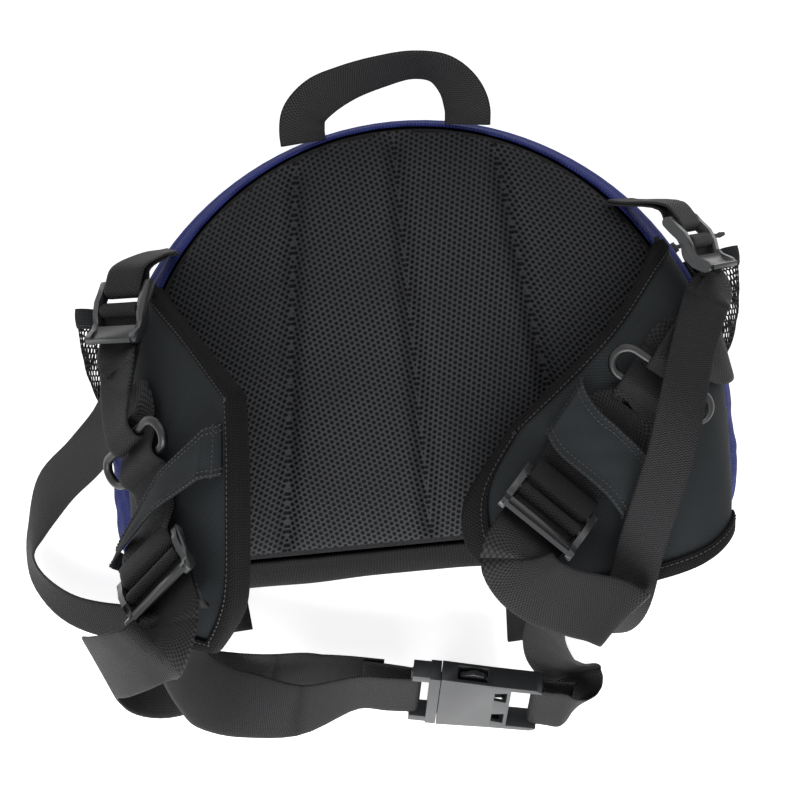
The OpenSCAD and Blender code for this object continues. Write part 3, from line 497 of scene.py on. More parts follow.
def set_uv(mesh: bpy.types.Mesh, uvs) -> None:
    """Writes one UV place per point of a mesh."""
    layer = mesh.uv_layers.get("UVMap") or mesh.uv_layers.new(name="UVMap")
    corners = np.empty(len(mesh.loops), np.int32)
    mesh.loops.foreach_get("vertex_index", corners)
    layer.data.foreach_set("uv", np.asarray(uvs, np.float32)[corners].ravel())


def places_of(mesh: bpy.types.Mesh) -> Array:
    """Returns the points of a mesh, in metres."""
    flat = np.empty(len(mesh.vertices) * 3)
    mesh.vertices.foreach_get("co", flat)
    return flat.reshape(-1, 3)


def grid_faces(n: int, m: int, closed: bool = False) -> list[tuple[int, ...]]:
    """Returns the faces of a grid of n rows of m points, whose rows are rings if closed."""
    return [
        (i * m + j, i * m + (j + 1) % m, (i + 1) * m + (j + 1) % m, (i + 1) * m + j)
        for i in range(n - 1)
        for j in range(m if closed else m - 1)
    ]


def make(name: str, points, faces, uvs, finish: str) -> Piece:
    """Makes a smooth-shaded piece.

    Args:
        name: name of the object.
        points: places in millimetres.
        faces: corner indices.
        uvs: one UV place per point, in millimetres.
        finish: name of its finish.

    Returns:
        The new object, at the origin.
    """
    mesh = bpy.data.meshes.new(name)
    mesh.from_pydata([tuple(np.asarray(p) * MM) for p in points], [], faces)
    set_uv(mesh, uvs)
    mesh.shade_smooth()
    mesh.update()
    piece = linked(name, mesh)
    PAINT.paint(piece, finish)
    return piece


def baked(piece: Piece) -> Piece:
    """Applies a piece's modifiers to its mesh and returns it."""
    bpy.context.view_layer.update()
    graph = bpy.context.evaluated_depsgraph_get()
    mesh = bpy.data.meshes.new_from_object(piece.evaluated_get(graph))
    old = piece.data
    piece.modifiers.clear()
    piece.data = mesh
    mesh.name = piece.name
    bpy.data.meshes.remove(old)
    return piece


def outward(piece: Piece) -> Piece:
    """Turns the faces of a closed piece outwards and returns it."""
    work = bmesh.new()
    work.from_mesh(piece.data)
    bmesh.ops.recalc_face_normals(work, faces=work.faces)
    work.to_mesh(piece.data)
    work.free()
    return piece


def slab(name: str, outer: Array, inner: Array, uv: Array, finish: str, inner_finish: str = "") -> Piece:
    """Makes a closed skin between an outer and an inner grid of points.

    Args:
        name: name of the object.
        outer: places of the outer face, rows by columns.
        inner: places of the inner face, in the same order.
        uv: UV places of both faces.
        finish: finish of the outer face and the edges.
        inner_finish: finish of the inner face, where it differs.

    Returns:
        The new object.
    """
    n, m = outer.shape[:2]
    far = n * m
    faces = grid_faces(n, m)
    count = len(faces)
    faces += [tuple(far + k for k in reversed(f)) for f in faces]
    index = np.arange(far).reshape(n, m)
    round_edge = (*index[0], *index[1:, -1], *index[-1, -2::-1], *index[-2:0:-1, 0])
    border = [int(k) for k in round_edge]
    faces += [(b, a, far + a, far + b) for a, b in zip(border, border[1:] + border[:1])]
    points = np.concatenate([outer.reshape(-1, 3), inner.reshape(-1, 3)])
    flat = uv.reshape(-1, 2)
    piece = make(name, points, faces, np.concatenate([flat, flat]), finish)
    if inner_finish:
        piece.data.materials.append(PAINT.get(inner_finish))
        for face in piece.data.polygons[count : 2 * count]:
            face.material_index = 1
    return outward(piece)


def loft(name: str, rings: Array, uv: Array, finish: str, close_first: bool = True) -> Piece:
    """Makes a skin through closed rings of points, with a cap on the last and, unless told, on the first."""
    n, m = rings.shape[:2]
    faces = grid_faces(n, m, closed=True)
    if close_first:
        faces.append(tuple(range(m - 1, -1, -1)))
    faces.append(tuple((n - 1) * m + j for j in range(m)))
    return outward(make(name, rings.reshape(-1, 3), faces, uv.reshape(-1, 2), finish))


class Spline:
    """Knot-spaced Catmull-Rom curve through rows of numbers whose first three are a place."""

    def __init__(self, points) -> None:
        self.points = np.asarray(points, float)

    def _span(self, k: int, share: float) -> Array:
        p = self.points
        n = len(p) - 1
        first = p[k - 1] if k > 0 else 2 * p[0] - p[1]
        last = p[k + 2] if k + 2 <= n else 2 * p[n] - p[n - 1]
        q = [first, p[k], p[k + 1], last]
        t = [0.0]
        for a, b in zip(q, q[1:]):
            t.append(t[-1] + max(math.sqrt(float(np.linalg.norm(b[:3] - a[:3]))), 0.01))
        x = mix(t[1], t[2], share)

        def between(a, b, ta, tb):
            return a * ((tb - x) / (tb - ta)) + b * ((x - ta) / (tb - ta))

        a = [between(q[i], q[i + 1], t[i], t[i + 1]) for i in range(3)]
        b = [between(a[i], a[i + 1], t[i], t[i + 2]) for i in range(2)]
        return between(b[0], b[1], t[1], t[2])

    def at(self, t: float) -> Array:
        """Returns the curve at t from 0 to 1."""
        n = len(self.points) - 1
        k = min(int(t * n), n - 1)
        return self._span(k, t * n - k)

    def fair(self, steps: int) -> Array:
        """Returns the curve in a number of steps from each point to the next."""
        spans = range(len(self.points) - 1)
        return np.array([self._span(k, s / steps) for k in spans for s in range(steps)] + [self.points[-1]])


class NodeGroup:
    """Geometry-node group that remakes a piece and gives it a finish."""

    def __init__(self, name: str, inputs: dict[str, str]) -> None:
        self.tree = bpy.data.node_groups.new(name, "GeometryNodeTree")
        face = self.tree.interface
        kinds = {"Geometry": "Geometry", **inputs, "Material": "Material"}
        self.sockets = {
            key: face.new_socket(key, in_out="INPUT", socket_type="NodeSocket" + kind).identifier
            for key, kind in kinds.items()
        }
        face.new_socket("Geometry", in_out="OUTPUT", socket_type="NodeSocketGeometry")
        self.given = self.tree.nodes.new("NodeGroupInput")
        self.result = self.tree.nodes.new("NodeGroupOutput")

    def add(self, kind: str, values: dict | None = None, **settings) -> bpy.types.Node:
        """Adds a node by its type, its input values and its settings."""
        made = self.tree.nodes.new("GeometryNode" + kind)
        for key, value in settings.items():
            setattr(made, key, value)
        for key, value in (values or {}).items():
            made.inputs[key].default_value = value
        return made

    def join(self, *pairs) -> None:
        """Links outputs to inputs, and the last step through the finish to the result."""
        real, paint = self.add("RealizeInstances"), self.add("SetMaterial")
        for a, b in (
            *pairs[:-1],
            (pairs[-1], real.inputs[0]),
            (real.outputs[0], paint.inputs["Geometry"]),
            (self.given.outputs["Material"], paint.inputs["Material"]),
            (paint.outputs[0], self.result.inputs[0]),
        ):
            self.tree.links.new(a, b)

    def apply(self, piece: Piece, finish: str, **values) -> Piece:
        """Remakes a piece as one plain mesh, with values for the group's inputs, and returns it."""
        modifier = piece.modifiers.new(self.tree.name, "NODES")
        modifier.node_group = self.tree
        for key, value in values.items():
            modifier[self.sockets[key]] = value
        modifier[self.sockets["Material"]] = PAINT.get(finish)
        baked(piece)
        PAINT.paint(piece, finish)
        return piece


class RepeatAlong(NodeGroup):
    """Repeats a small shape along the edges of a mesh."""

    def __init__(self, shape: Repeat) -> None:
        super().__init__(f"repeat_{shape.value}", {"Spacing": "Float", "Size": "Vector"})
        curve = self.add("MeshToCurve")
        points = self.add("CurveToPoints", mode="LENGTH")
        put = self.add("InstanceOnPoints")
        if shape is Repeat.STITCH:
            item = self.add("MeshUVSphere", {"Segments": 8, "Rings": 5, "Radius": 0.5})
        else:
            item = self.add("MeshCylinder", {"Vertices": 6, "Radius": 0.5, "Depth": 1.0})
        self.join(
            (self.given.outputs["Geometry"], curve.inputs[0]),
            (curve.outputs[0], points.inputs["Curve"]),
            (self.given.outputs["Spacing"], points.inputs["Length"]),
            (points.outputs["Points"], put.inputs["Points"]),
            (points.outputs["Rotation"], put.inputs["Rotation"]),
            (item.outputs["Mesh"], put.inputs["Instance"]),
            (self.given.outputs["Size"], put.inputs["Scale"]),
            put.outputs[0],
        )

    def along(self, name: str, lines: Sequence[Array], spacing: float, size: RGB, finish: str) -> Piece:
        """Repeats the shape along lines.

        Args:
            name: name of the new piece.
            lines: places of each line, in millimetres.
            spacing: distance from one shape to the next, in millimetres.
            size: width, height and length of the shape, its length along the line.
            finish: name of its finish.

        Returns:
            One plain mesh of all the shapes.
        """
        points = [tuple(np.asarray(p) * MM) for line in lines for p in line]
        edges, start = [], 0
        for line in lines:
            edges += [(start + k, start + k + 1) for k in range(len(line) - 1)]
            start += len(line)
        mesh = bpy.data.meshes.new(name)
        mesh.from_pydata(points, edges, [])
        return self.apply(linked(name, mesh), finish, Spacing=spacing * MM, Size=[s * MM for s in size])


STITCHES = RepeatAlong(Repeat.STITCH)
TEETH = RepeatAlong(Repeat.TOOTH)


def sew(name: str, lines: Sequence[Array], spacing: float = 3.0) -> Piece:
    """Sews rows of stitches along lines and returns them as one piece."""
    size = (THREAD_WIDTH, THREAD_WIDTH, spacing * STITCH_SHARE)
    return STITCHES.along(name, lines, spacing, size, "sewing_thread")


class NetWeaver(NodeGroup):
    """Turns a grid of faces into a net of threads."""

    def __init__(self) -> None:
        super().__init__("net_threads", {"Thread": "Float"})
        split, curve, tube = self.add("Triangulate"), self.add("MeshToCurve"), self.add("CurveToMesh")
        dual = self.add("DualMesh", {"Keep Boundaries": True})
        circle = self.add("CurvePrimitiveCircle", {"Resolution": 5})
        self.join(
            (self.given.outputs["Geometry"], split.inputs[0]),
            (split.outputs[0], dual.inputs[0]),
            (dual.outputs[0], curve.inputs[0]),
            (curve.outputs[0], tube.inputs["Curve"]),
            (self.given.outputs["Thread"], circle.inputs["Radius"]),
            (circle.outputs["Curve"], tube.inputs["Profile Curve"]),
            tube.outputs[0],
        )


NET = NetWeaver()


# Bag


def outline(level: Array, t: float) -> Array:
    """Returns a place on an arch outline.

    Args:
        level: height, arch radius, arch centre, foot and corner radius.
        t: from 0 to 7 round the outline, from the middle of the foot.

    Returns:
        The place, in millimetres.
    """
    z, r, centre, foot, corner = level
    s = t % 7
    h = s if s <= 3.5 else 7 - s
    if h < 1:
        x, y = h * (r - corner), foot
    elif h < 2:
        x = r - corner * (1 - math.sin(math.pi / 2 * (h - 1)))
        y = foot + corner * (1 - math.cos(math.pi / 2 * (h - 1)))
    elif h < 3:
        x, y = r, mix(foot + corner, centre, h - 2)
    else:
        x, y = r * math.cos(math.pi * (h - 3)), centre + r * math.sin(math.pi * (h - 3))
    return np.array([x if s <= 3.5 else -x, y, z])


def traced(level: Array, turns: Array) -> Array:
    """Returns the places on an arch outline at a row of turns."""
    return np.array([outline(level, t) for t in turns])


def inset(level: Array, d: float) -> Array:
    """Returns an outline level drawn in by a distance."""
    z, r, centre, foot, corner = level
    return np.array([z, r - d, centre, foot + d, max(corner - d, 1.0)])


def raised(level: Array, z: float) -> Array:
    """Returns an outline level moved to a height."""
    return np.array([z, *level[1:]])


BACK = np.array([100.0, 157, 0, -75, 35])
WIDE = np.array([74.0, 174, -12, -90, 43])
FRONT = np.array([22.0, 145, -6, -63, 35])
POCKET = np.array([0.0, 118, -6, -64, 30])
ZIP = inset(WIDE, 5)


LONG_CREASES = ((90, 3.4, 3.0), (79, 4.5, 2.0), (34, 4, 1.8))


@dataclass
class BagShell:
    """Wall, bottom, front and front pocket of the bag."""

    wall: float = 1.6
    levels: list[Array] = field(default_factory=list)

    def __post_init__(self) -> None:
        shares = ((22, FRONT, ZIP, 0.0), (31.5, FRONT, ZIP, 0.65), (41, FRONT, ZIP, 1.0))
        shares += ((59, ZIP, WIDE, 0.0), (74, ZIP, WIDE, 1.0))
        shares += ((85.7, WIDE, BACK, 0.25), (94.3, WIDE, BACK, 0.6), (100, WIDE, BACK, 1.0))
        self.levels = [raised(mix(a, b, share), z) for z, a, b, share in shares]

    def rows(self, steps: int) -> Array:
        """Returns outline levels from the front to the back seam, eased where the wall turns."""
        knots = np.array(self.levels)
        at = np.linspace(0, len(knots) - 1, steps * (len(knots) - 1) + 1)
        rows = np.stack([np.interp(at, range(len(knots)), knots[:, k]) for k in range(5)], axis=1)
        for _ in range(steps):
            rows[1:-1] = (rows[:-2] + 2 * rows[1:-1] + rows[2:]) / 4
        return rows

    def side_x(self, y: float, z: float) -> float:
        """Returns half the width of the bag at a place on its side."""
        knots = np.array(self.levels)
        r = float(np.interp(z, knots[:, 0], knots[:, 1]))
        centre = float(np.interp(z, knots[:, 0], knots[:, 2]))
        return math.sqrt(max(r * r - (y - centre) ** 2, 0)) if y > centre else r

    def band(self, name: str, turns: Array, finish: str, crease: Callable[[float, float], float]) -> None:
        """Makes a part of the wall.

        Args:
            name: name of the node that it stands for.
            turns: places round the outline.
            finish: name of its finish.
            crease: height of its folds by place round the outline and height.
        """
        rows = self.rows(5)
        middle = rows[len(rows) // 2]
        run = run_along(traced(middle, turns))
        outer = np.empty((len(turns), len(rows), 3))
        inner = np.empty_like(outer)
        uv = np.empty((len(turns), len(rows), 2))
        for i, t in enumerate(turns):
            rise = 0.0
            for j, row in enumerate(rows):
                p = outline(row, t)
                go = outline(row, t + 0.01) - outline(row, t - 0.01)
                out = unit(np.array([go[1], -go[0], 0.0]))
                edge = smooth(min(j, len(rows) - 1 - j) / 5)
                outer[i, j] = p + out * crease(t, row[0]) * edge
                inner[i, j] = p - out * self.wall
                rise += float(np.linalg.norm(p - outline(rows[max(j - 1, 0)], t)))
                uv[i, j] = run[i], rise
        piece = slab(name + "_cloth", outer, inner, uv, finish)
        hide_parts(name)
        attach(piece, "pack")

    def gusset_crease(self, t: float, z: float) -> float:
        """Returns the folds of the wall: long creases beside the seam, with the zip's band left flat."""
        fold = 0.0
        left = math.exp(-(((t - 4.15) / 0.45) ** 2))
        for k, (middle, width, depth) in enumerate(LONG_CREASES):
            wander = middle + 3.5 * math.sin(2.6 * t + 1.7 * k)
            share = 0.35 + 0.65 * left if k < 2 else 0.8
            fold -= depth * share * math.exp(-(((z - wander) / width) ** 2))
        flat = smooth(abs(z - 50) / 9 - 0.9)
        return (fold + 0.8 * ripple(t * 5, z / 9, 1.0)) * flat

    def dish(self, name: str, rows: Sequence[Array], finish: str) -> None:
        """Makes a panel from rings that close in towards its middle."""
        turns = np.linspace(0, 7, 181)[:-1]
        rings = np.array([traced(row, turns) for row in rows])
        piece = loft(name + "_cloth", rings, rings[:, :, :2].copy(), finish, close_first=False)
        thick = piece.modifiers.new("thick", "SOLIDIFY")
        thick.thickness = self.wall * MM
        thick.offset = -1.0
        baked(piece)
        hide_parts(name)
        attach(piece, "pack")

    def bottom_crease(self, t: float, z: float) -> float:
        """Returns the folds of the bottom panel."""
        return 0.9 * ripple(t * 4, z / 12, 4.0)

    def build(self) -> None:
        """Makes the cloth of the bag."""
        self.band("gusset", np.linspace(1.4, 5.6, 241), "blue_cloth", self.gusset_crease)
        self.band("bottom_panel", np.linspace(-1.39, 1.39, 121), "black_cloth", self.bottom_crease)
        base = inset(FRONT, 22)
        front = [raised(mix(base, FRONT, share), z) for share, z in ((1, 21.75), (0.6, 17.4), (0.2, 15.6))]
        front += [raised(inset(base, d), 15.0) for d in (0, 20, 40, 60)]
        self.dish("front_panel", front, "blue_cloth")
        steps = ((14.75, 0.8), (13.6, 0), (6, -0.6), (3.4, 0), (1.7, 1.2), (0.6, 3))
        steps += tuple((0, d) for d in (7, 20, 40, 58))
        self.dish("front_pocket", [raised(inset(POCKET, d), z) for z, d in steps], "blue_cloth")
        rows = [raised(inset(POCKET, d), z) for z, d in ((2.9, 0.2), (0.9, 2.3))]
        seams = [traced(row, np.linspace(0, 7, 300)) for row in rows]
        back = [traced(raised(BACK, 99.3), np.linspace(1.5, 5.5, 400))]
        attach(sew("pocket_stitches", seams), "pack")
        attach(sew("seam_stitches", back), "pack")


@dataclass
class BackPad:
    """Crowned mesh pad with three sewn channels."""

    base: float = 100.25
    height: float = 18.0
    channel_depth: float = 7.0
    channel_half: float = 4.6
    voxel: float = 4.5
    held_below: float = 103.0
    held_half: float = 4.0
    pressure: float = 4.0
    frames: int = 20
    puff: float = 5.0
    steps: tuple = ((0, 0.5), (0.12, 1.5), (0.34, 8), (0.6, 20), (0.85, 41), (1, 68))

    def channel_x(self, y: float) -> float:
        """Returns the distance of the outer channels from the middle."""
        return mix(80.0, 52.0, (y + 75) / 232)

    def inflate(self, piece: Piece) -> None:
        """Puffs the pad with cloth pressure and keeps each point near where it was."""
        remesh = piece.modifiers.new("even", "REMESH")
        remesh.mode = "VOXEL"
        remesh.voxel_size = self.voxel * MM
        baked(piece)
        rest = places_of(piece.data)
        held = piece.vertex_groups.new(name="held")
        for k, p in enumerate(rest / MM):
            across = min(abs(abs(p[0]) - self.channel_x(p[1])), abs(p[0]))
            if p[2] < self.held_below or across < self.held_half:
                held.add([k], 1.0, "REPLACE")
        cloth = piece.modifiers.new("cloth", "CLOTH")
        cloth.settings.quality = 4
        cloth.settings.vertex_group_mass = "held"
        cloth.settings.use_pressure = True
        cloth.settings.uniform_pressure_force = self.pressure
        cloth.settings.effector_weights.gravity = 0.0
        scene = bpy.context.scene
        for number in range(1, self.frames + 1):
            scene.frame_set(number)
        graph = bpy.context.evaluated_depsgraph_get()
        shift = places_of(piece.evaluated_get(graph).data) - rest
        far = np.linalg.norm(shift, axis=1, keepdims=True)
        rest = rest + shift * np.minimum(1.0, self.puff * MM / np.maximum(far, 1e-9))
        piece.modifiers.clear()
        piece.vertex_groups.clear()
        scene.frame_set(1)
        piece.data.vertices.foreach_set("co", rest.ravel())
        finer = piece.modifiers.new("finer", "SUBSURF")
        finer.levels = finer.render_levels = 1
        baked(piece)

    def build(self) -> None:
        """Makes the pad, its channels and the slant of its mesh."""
        turns = np.linspace(0, 7, 169)[:-1]
        levels = [raised(inset(BACK, d), self.base + self.height * s) for s, d in self.steps]
        rings = np.array([traced(level, turns) for level in levels])
        piece = loft("back_mesh_pad", rings, rings[:, :, :2].copy(), "air_mesh")
        self.inflate(piece)
        mesh = piece.data
        places = places_of(mesh) / MM
        folded = np.empty((len(places), 2))
        for k, (x, y, z) in enumerate(places):
            line = self.channel_x(y)
            near = min(abs(abs(x) - line) * 0.99, abs(x))
            sunk = math.exp(-((near / self.channel_half) ** 2)) * smooth((z - 101) / 9)
            places[k, 2] = z - self.channel_depth * sunk
            folded[k] = abs(x) if abs(x) < line else 2 * line - abs(x), y
        mesh.vertices.foreach_set("co", (places * MM).ravel())
        set_uv(mesh, folded)
        mesh.shade_smooth()
        mesh.update()
        PAINT.paint(piece, "air_mesh")
        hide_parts("back_mesh")
        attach(piece, "pack")
        PAINT.paint(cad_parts["back_foam"], "foam_core")
        PAINT.paint(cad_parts["frame_sheet"], "stiff_sheet")


@dataclass(frozen=True)
class ZipRun:
    """A zip round the bag's wall: tape, teeth and stitching."""

    node: str
    r: float
    centre: float
    z: float
    tape: float
    first: float = 28.0
    last: float = 152.0

    def arc(self, lift: float, z: float, steps: int = 160) -> Array:
        """Returns a line round the wall at a height."""
        angles = np.radians(np.linspace(self.first, self.last, steps))
        r = self.r + lift
        return np.array([[r * math.cos(a), self.centre + r * math.sin(a), z] for a in angles])

    def build(self) -> None:
        """Makes the zip."""
        across = np.linspace(-1, 1, 7)
        outer = np.stack([self.arc(0.95 - 0.3 * s * s, self.z + s * self.tape / 2) for s in across], axis=1)
        inner = np.stack([self.arc(0.1, self.z + s * self.tape / 2) for s in across], axis=1)
        run = np.linspace(0, self.r * math.radians(self.last - self.first), outer.shape[0])
        uv = np.stack(np.broadcast_arrays(run[:, None], across * self.tape / 2), axis=2)
        tape = slab(self.node + "_tape", outer, inner, uv, "zip_tape")
        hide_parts(self.node)
        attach(tape, "pack")
        teeth = [self.arc(1.4, self.z + s * 1.25) for s in (-1, 1)]
        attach(TEETH.along(self.node + "_teeth", teeth, TOOTH_PITCH, TOOTH_SIZE, "zip_metal"), "pack")
        rows = [self.arc(0.95, self.z + s * self.tape * 0.4) for s in (-1, 1)]
        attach(sew(self.node + "_stitches", rows), "pack")


@dataclass(frozen=True)
class SidePocket:
    """Net bottle pocket with an elastic hem."""

    side: Side
    bag: BagShell
    mouth_y: float = 58.0
    drop: float = 42.0
    middle_z: float = 67.0
    half_z: float = 27.0
    belly: float = 24.0
    gap: float = 1.25
    half_turn: float = 84.0
    hem_width: float = 11.0

    def point(self, a: float, b: float, lift: float) -> Array:
        """Returns a place on the net: a across it in degrees, b from its foot to its mouth."""
        bend = math.radians(a)
        y = self.mouth_y - self.drop * (1 - b)
        z = self.middle_z + self.half_z * math.sin(bend)
        out = self.belly * b**0.8 * math.cos(bend)
        x = self.bag.side_x(y, z) + self.gap + out + lift
        return np.array([self.side.value * x, y + 6 * b * math.cos(bend), z])

    def build(self) -> None:
        """Makes the net and its hem."""
        rows, cols = 15, 26
        slack = [[0.5 * ripple(i * 0.9, j * 0.7, 2.0) for j in range(cols + 1)] for i in range(rows + 1)]
        turns = [mix(-self.half_turn, self.half_turn, j / cols) for j in range(cols + 1)]
        points = [
            self.point(turns[j], i / rows, 0.5 + slack[i][j] * math.sin(math.pi * i / rows))
            for i in range(rows + 1)
            for j in range(cols + 1)
        ]
        faces = grid_faces(rows + 1, cols + 1)
        net = make(f"net_{self.side.tag}", points, faces, [(p[1], p[2]) for p in points], "net_thread")
        NET.apply(net, "net_thread", Thread=NET_THREAD_RADIUS * MM)
        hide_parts(f"side_net_{self.side.tag}")
        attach(net, "pack")
        steps, bands = 60, 8
        outer, inner, uv = (np.empty((steps + 1, bands + 1, k)) for k in (3, 3, 2))
        for i in range(steps + 1):
            a = mix(-self.half_turn, self.half_turn, i / steps)
            for j in range(bands + 1):
                b = j / bands
                swell = 1.1 + 0.6 * math.sin(math.pi * b)
                up = np.array([0, 0.5 + self.hem_width * b - 0.7, 0])
                outer[i, j] = self.point(a, 1, swell) + up
                inner[i, j] = self.point(a, 1, 0.2) + up
                uv[i, j] = i / steps * 75, b * self.hem_width
        hem = slab(f"hem_{self.side.tag}", outer, inner, uv, "elastic_hem")
        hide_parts(f"side_rim_{self.side.tag}")
        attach(hem, "pack")
        line = np.array([self.point(mix(-82, 82, k / 80), 1, 1.5) for k in range(81)]) + np.array([0, 1.6, 0])
        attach(sew(f"hem_stitches_{self.side.tag}", [line], SEWING_PITCH), "pack")


# Wings


WING_ROWS = {
    Side.LEFT: (
        ((-139, 83, 102), (-156.5, 41.5, 102), (-163, -18, 102), (-156, -68, 102)),
        ((-137, 78, 114), (-152, 28, 122), (-157, -30, 128), (-165, -82, 124)),
        ((-117, 50, 148), (-130, 0, 160), (-135, -50, 163), (-150, -104, 150)),
        ((-92, 12, 190), (-98, -36, 195), (-104, -87, 190), (-112, -116, 174)),
    ),
    Side.RIGHT: (
        ((139, 83, 102), (156.5, 41.5, 102), (163, -18, 102), (156, -68, 102)),
        ((139, 78, 112), (160, 34, 117), (165, -20, 119), (162, -78, 116)),
        ((130, 66, 128), (146, 24, 137), (148, -30, 139), (146, -93, 132)),
        ((104, 34, 141), (100, -12, 147), (100, -50, 146), (98, -103, 136)),
        ((29, -29, 143), (19, -52, 142), (19, -76, 139), (33, -103, 133)),
    ),
}
TUNNELS = {
    Side.LEFT: ((0.93, 0.13), (0.34, 0.885), (0.93, 0.30), (0.37, 0.93)),
    Side.RIGHT: ((0.84, 0.08), (0.66, 0.65), (0.88, 0.20), (0.75, 0.78)),
}


@dataclass
class Wing:
    """Padded hip wing with its bound edge and the tunnel over its load webbing."""

    side: Side
    thin: float = 3.2
    thick: float = 8.0
    seat: float = 0.8
    reach: float = 6.5

    def __post_init__(self) -> None:
        self.rows = [Spline(row) for row in WING_ROWS[self.side]]
        self.span = float(np.linalg.norm(self.at(1, 0.5) - self.at(0, 0.5)))

    def at(self, a: float, b: float) -> Array:
        """Returns a place on the outer face, a from seam to tip and b from the upper edge to the lower."""
        a, b = min(max(a, 0), 1), min(max(b, 0), 1)
        return Spline([row.at(b) for row in self.rows]).at(a * (1 - 0.06 * abs(2 * b - 1) ** 3))

    def out(self, a: float, b: float) -> Array:
        """Returns the direction out of the outer face."""
        h = 0.01
        along = self.at(a + h, b) - self.at(a - h, b)
        across = self.at(a, b + h) - self.at(a, b - h)
        return self.side.value * unit(np.cross(along, across))

    def skin(self, a: float, b: float, lift: float) -> Array:
        """Returns a place at a height over the outer face."""
        return self.at(a, b) + self.out(a, b) * lift

    def depth(self, a: float) -> float:
        """Returns the thickness of the wing."""
        return mix(self.thin, self.thick, smooth(a / 0.4))

    def ride(self, piece: Piece) -> Piece:
        """Bakes a piece's place into its mesh; the wing and seam values passed on are not used."""
        x = self.side.value * 0.16
        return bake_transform(piece, "pack", self.side.wing, (x, 0, 0.1005), (x, 0, 0.116))

    def pad(self) -> None:
        """Makes the padded body, cloth outside and lining inside."""
        n, m = 60, 36
        outer, inner, uv = (np.empty((n + 1, m + 1, k)) for k in (3, 3, 2))
        for i in range(n + 1):
            for j in range(m + 1):
                a, b = i / n, j / m
                p, out = self.at(a, b), self.out(a, b)
                edge = smooth(min(b, 1 - b) / 0.1) * smooth((1 - a) / 0.1)
                dent = 0.55 * ripple(a * 7, b * 6, 3.0 + self.side.value) * edge
                outer[i, j] = p + out * (dent - 0.3)
                inner[i, j] = p - out * (self.depth(a) + 0.5 * edge)
                uv[i, j] = b * 135, a * self.span
        piece = slab(f"wing_pad_{self.side.tag}", outer, inner, uv, "wing_cloth", "lining_cloth")
        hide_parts(*(f"wing_{layer}_{self.side.tag}" for layer in ("outer", "foam", "lining")))
        self.ride(piece)

    def edge(self) -> list[tuple[float, float, float, float]]:
        """Returns stops round the free edges: place and the direction over the wing."""
        first, n, m = 3 / 14, 40, 30
        up = [(mix(first, 1, k / n), 0.0, 0.0, 1.0) for k in range(n)]
        tip = [(1.0, k / m, -1.0, (1 - 2 * k / m) * max(0, 1 - 8 * min(k, m - k) / m)) for k in range(m + 1)]
        return up + tip + [(mix(1, first, k / n), 1.0, 0.0, -1.0) for k in range(1, n + 1)]

    def binding(self) -> None:
        """Makes the tape folded round the edge and its stitching."""
        stops = self.edge()
        places = [self.at(a, b) for a, b, _, _ in stops]
        rings, uv, seam, back_seam, run = [], [], [], [], 0.0
        for k, (a, b, da, db) in enumerate(stops):
            go = unit(places[min(k + 1, len(stops) - 1)] - places[max(k - 1, 0)])
            p, out = places[k], self.out(a, b)
            away = unit(np.cross(go, out)) * self.side.value
            d = self.depth(a)
            width = float(np.linalg.norm(self.at(a, 1) - self.at(a, 0)))

            def over(share: float, lift: float, under: bool) -> Array:
                in_by = self.reach * share
                a_in, b_in = a + da * in_by / self.span, b + db * in_by / width
                return self.skin(a_in, b_in, -self.depth(a_in) - lift if under else lift)

            face = self.seat + 0.9
            lap = ((1, 0.3), (1, face - 0.3), (0.92, face), (0.5, face + 0.25))
            section = [over(share, lift, False) for share, lift in lap]
            section += [p + out * face + away * 0.4, p + away * (face - 0.3) - out * 0.6]
            section += [p + away * face - out * d / 2, p + away * (face - 0.3) - out * (d - 0.6)]
            section += [p - out * (d + face) + away * 0.4]
            section += [over(share, lift, True) for share, lift in lap[::-1]]
            section += [p - out * d + away * 0.2, p + away * 0.3 - out * d / 2, p + away * 0.2]
            rings.append(section)
            run += float(np.linalg.norm(p - places[max(k - 1, 0)]))
            uv.append([(run, s) for s in run_along(np.array(section))])
            seam.append(over(0.72, face + 0.3, False))
            back_seam.append(over(0.72, face + 0.3, True))
        piece = loft(f"binding_{self.side.tag}", np.array(rings), np.array(uv), "binding_tape")
        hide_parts(f"wing_binding_{self.side.tag}")
        self.ride(piece)
        self.ride(sew(f"binding_stitches_{self.side.tag}", [np.array(seam), np.array(back_seam)], 2.8))

    def tunnel_place(self, s: float, t: float) -> Array:
        """Returns the place on the wing of a place on the tunnel."""
        c = [np.array(q) for q in TUNNELS[self.side]]
        return mix(mix(c[0], c[1], t), mix(c[2], c[3], t), s)

    def tunnel(self) -> None:
        """Makes the hemmed panel over the load webbing."""
        rows, cols = 24, 44

        def point(s: float, t: float, lift: float) -> Array:
            a, b = self.tunnel_place(s, t)
            rise = mix(0.25, mix(8, 12, s), smooth(min(t, 1 - t) / 0.07))
            hem = 0.5 * smooth(1.6 - min(s, 1 - s) * 12)
            dent = 0.9 * ripple(s * 3.1, t * 6.3, 6.0) * smooth(min(t, 1 - t) / 0.2)
            return self.skin(a, b, rise + lift + hem + dent * smooth(min(s, 1 - s) / 0.3))

        grid = [[(i / rows, j / cols) for j in range(cols + 1)] for i in range(rows + 1)]
        outer = np.array([[point(s, t, 1.0) for s, t in line] for line in grid])
        inner = np.array([[point(s, t, 0.0) for s, t in line] for line in grid])
        long, wide = run_along(outer[rows // 2])[-1], run_along(outer[:, cols // 2])[-1]
        uv = np.array([[(t * long, s * wide) for s, t in line] for line in grid])
        piece = slab(f"tunnel_{self.side.tag}", outer, inner, uv, "wing_cloth")
        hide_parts(f"wing_tunnel_{self.side.tag}")
        self.ride(piece)
        ends = [np.array([point(s, t / 60, 1.2) for t in range(61)]) for s in (0.04, 0.14, 0.86, 0.96)]
        sides = [np.array([point(s / 30, t, 1.2) for s in range(31)]) for t in (0.03, 0.97)]
        self.ride(sew(f"tunnel_stitches_{self.side.tag}", ends + sides, SEWING_PITCH))

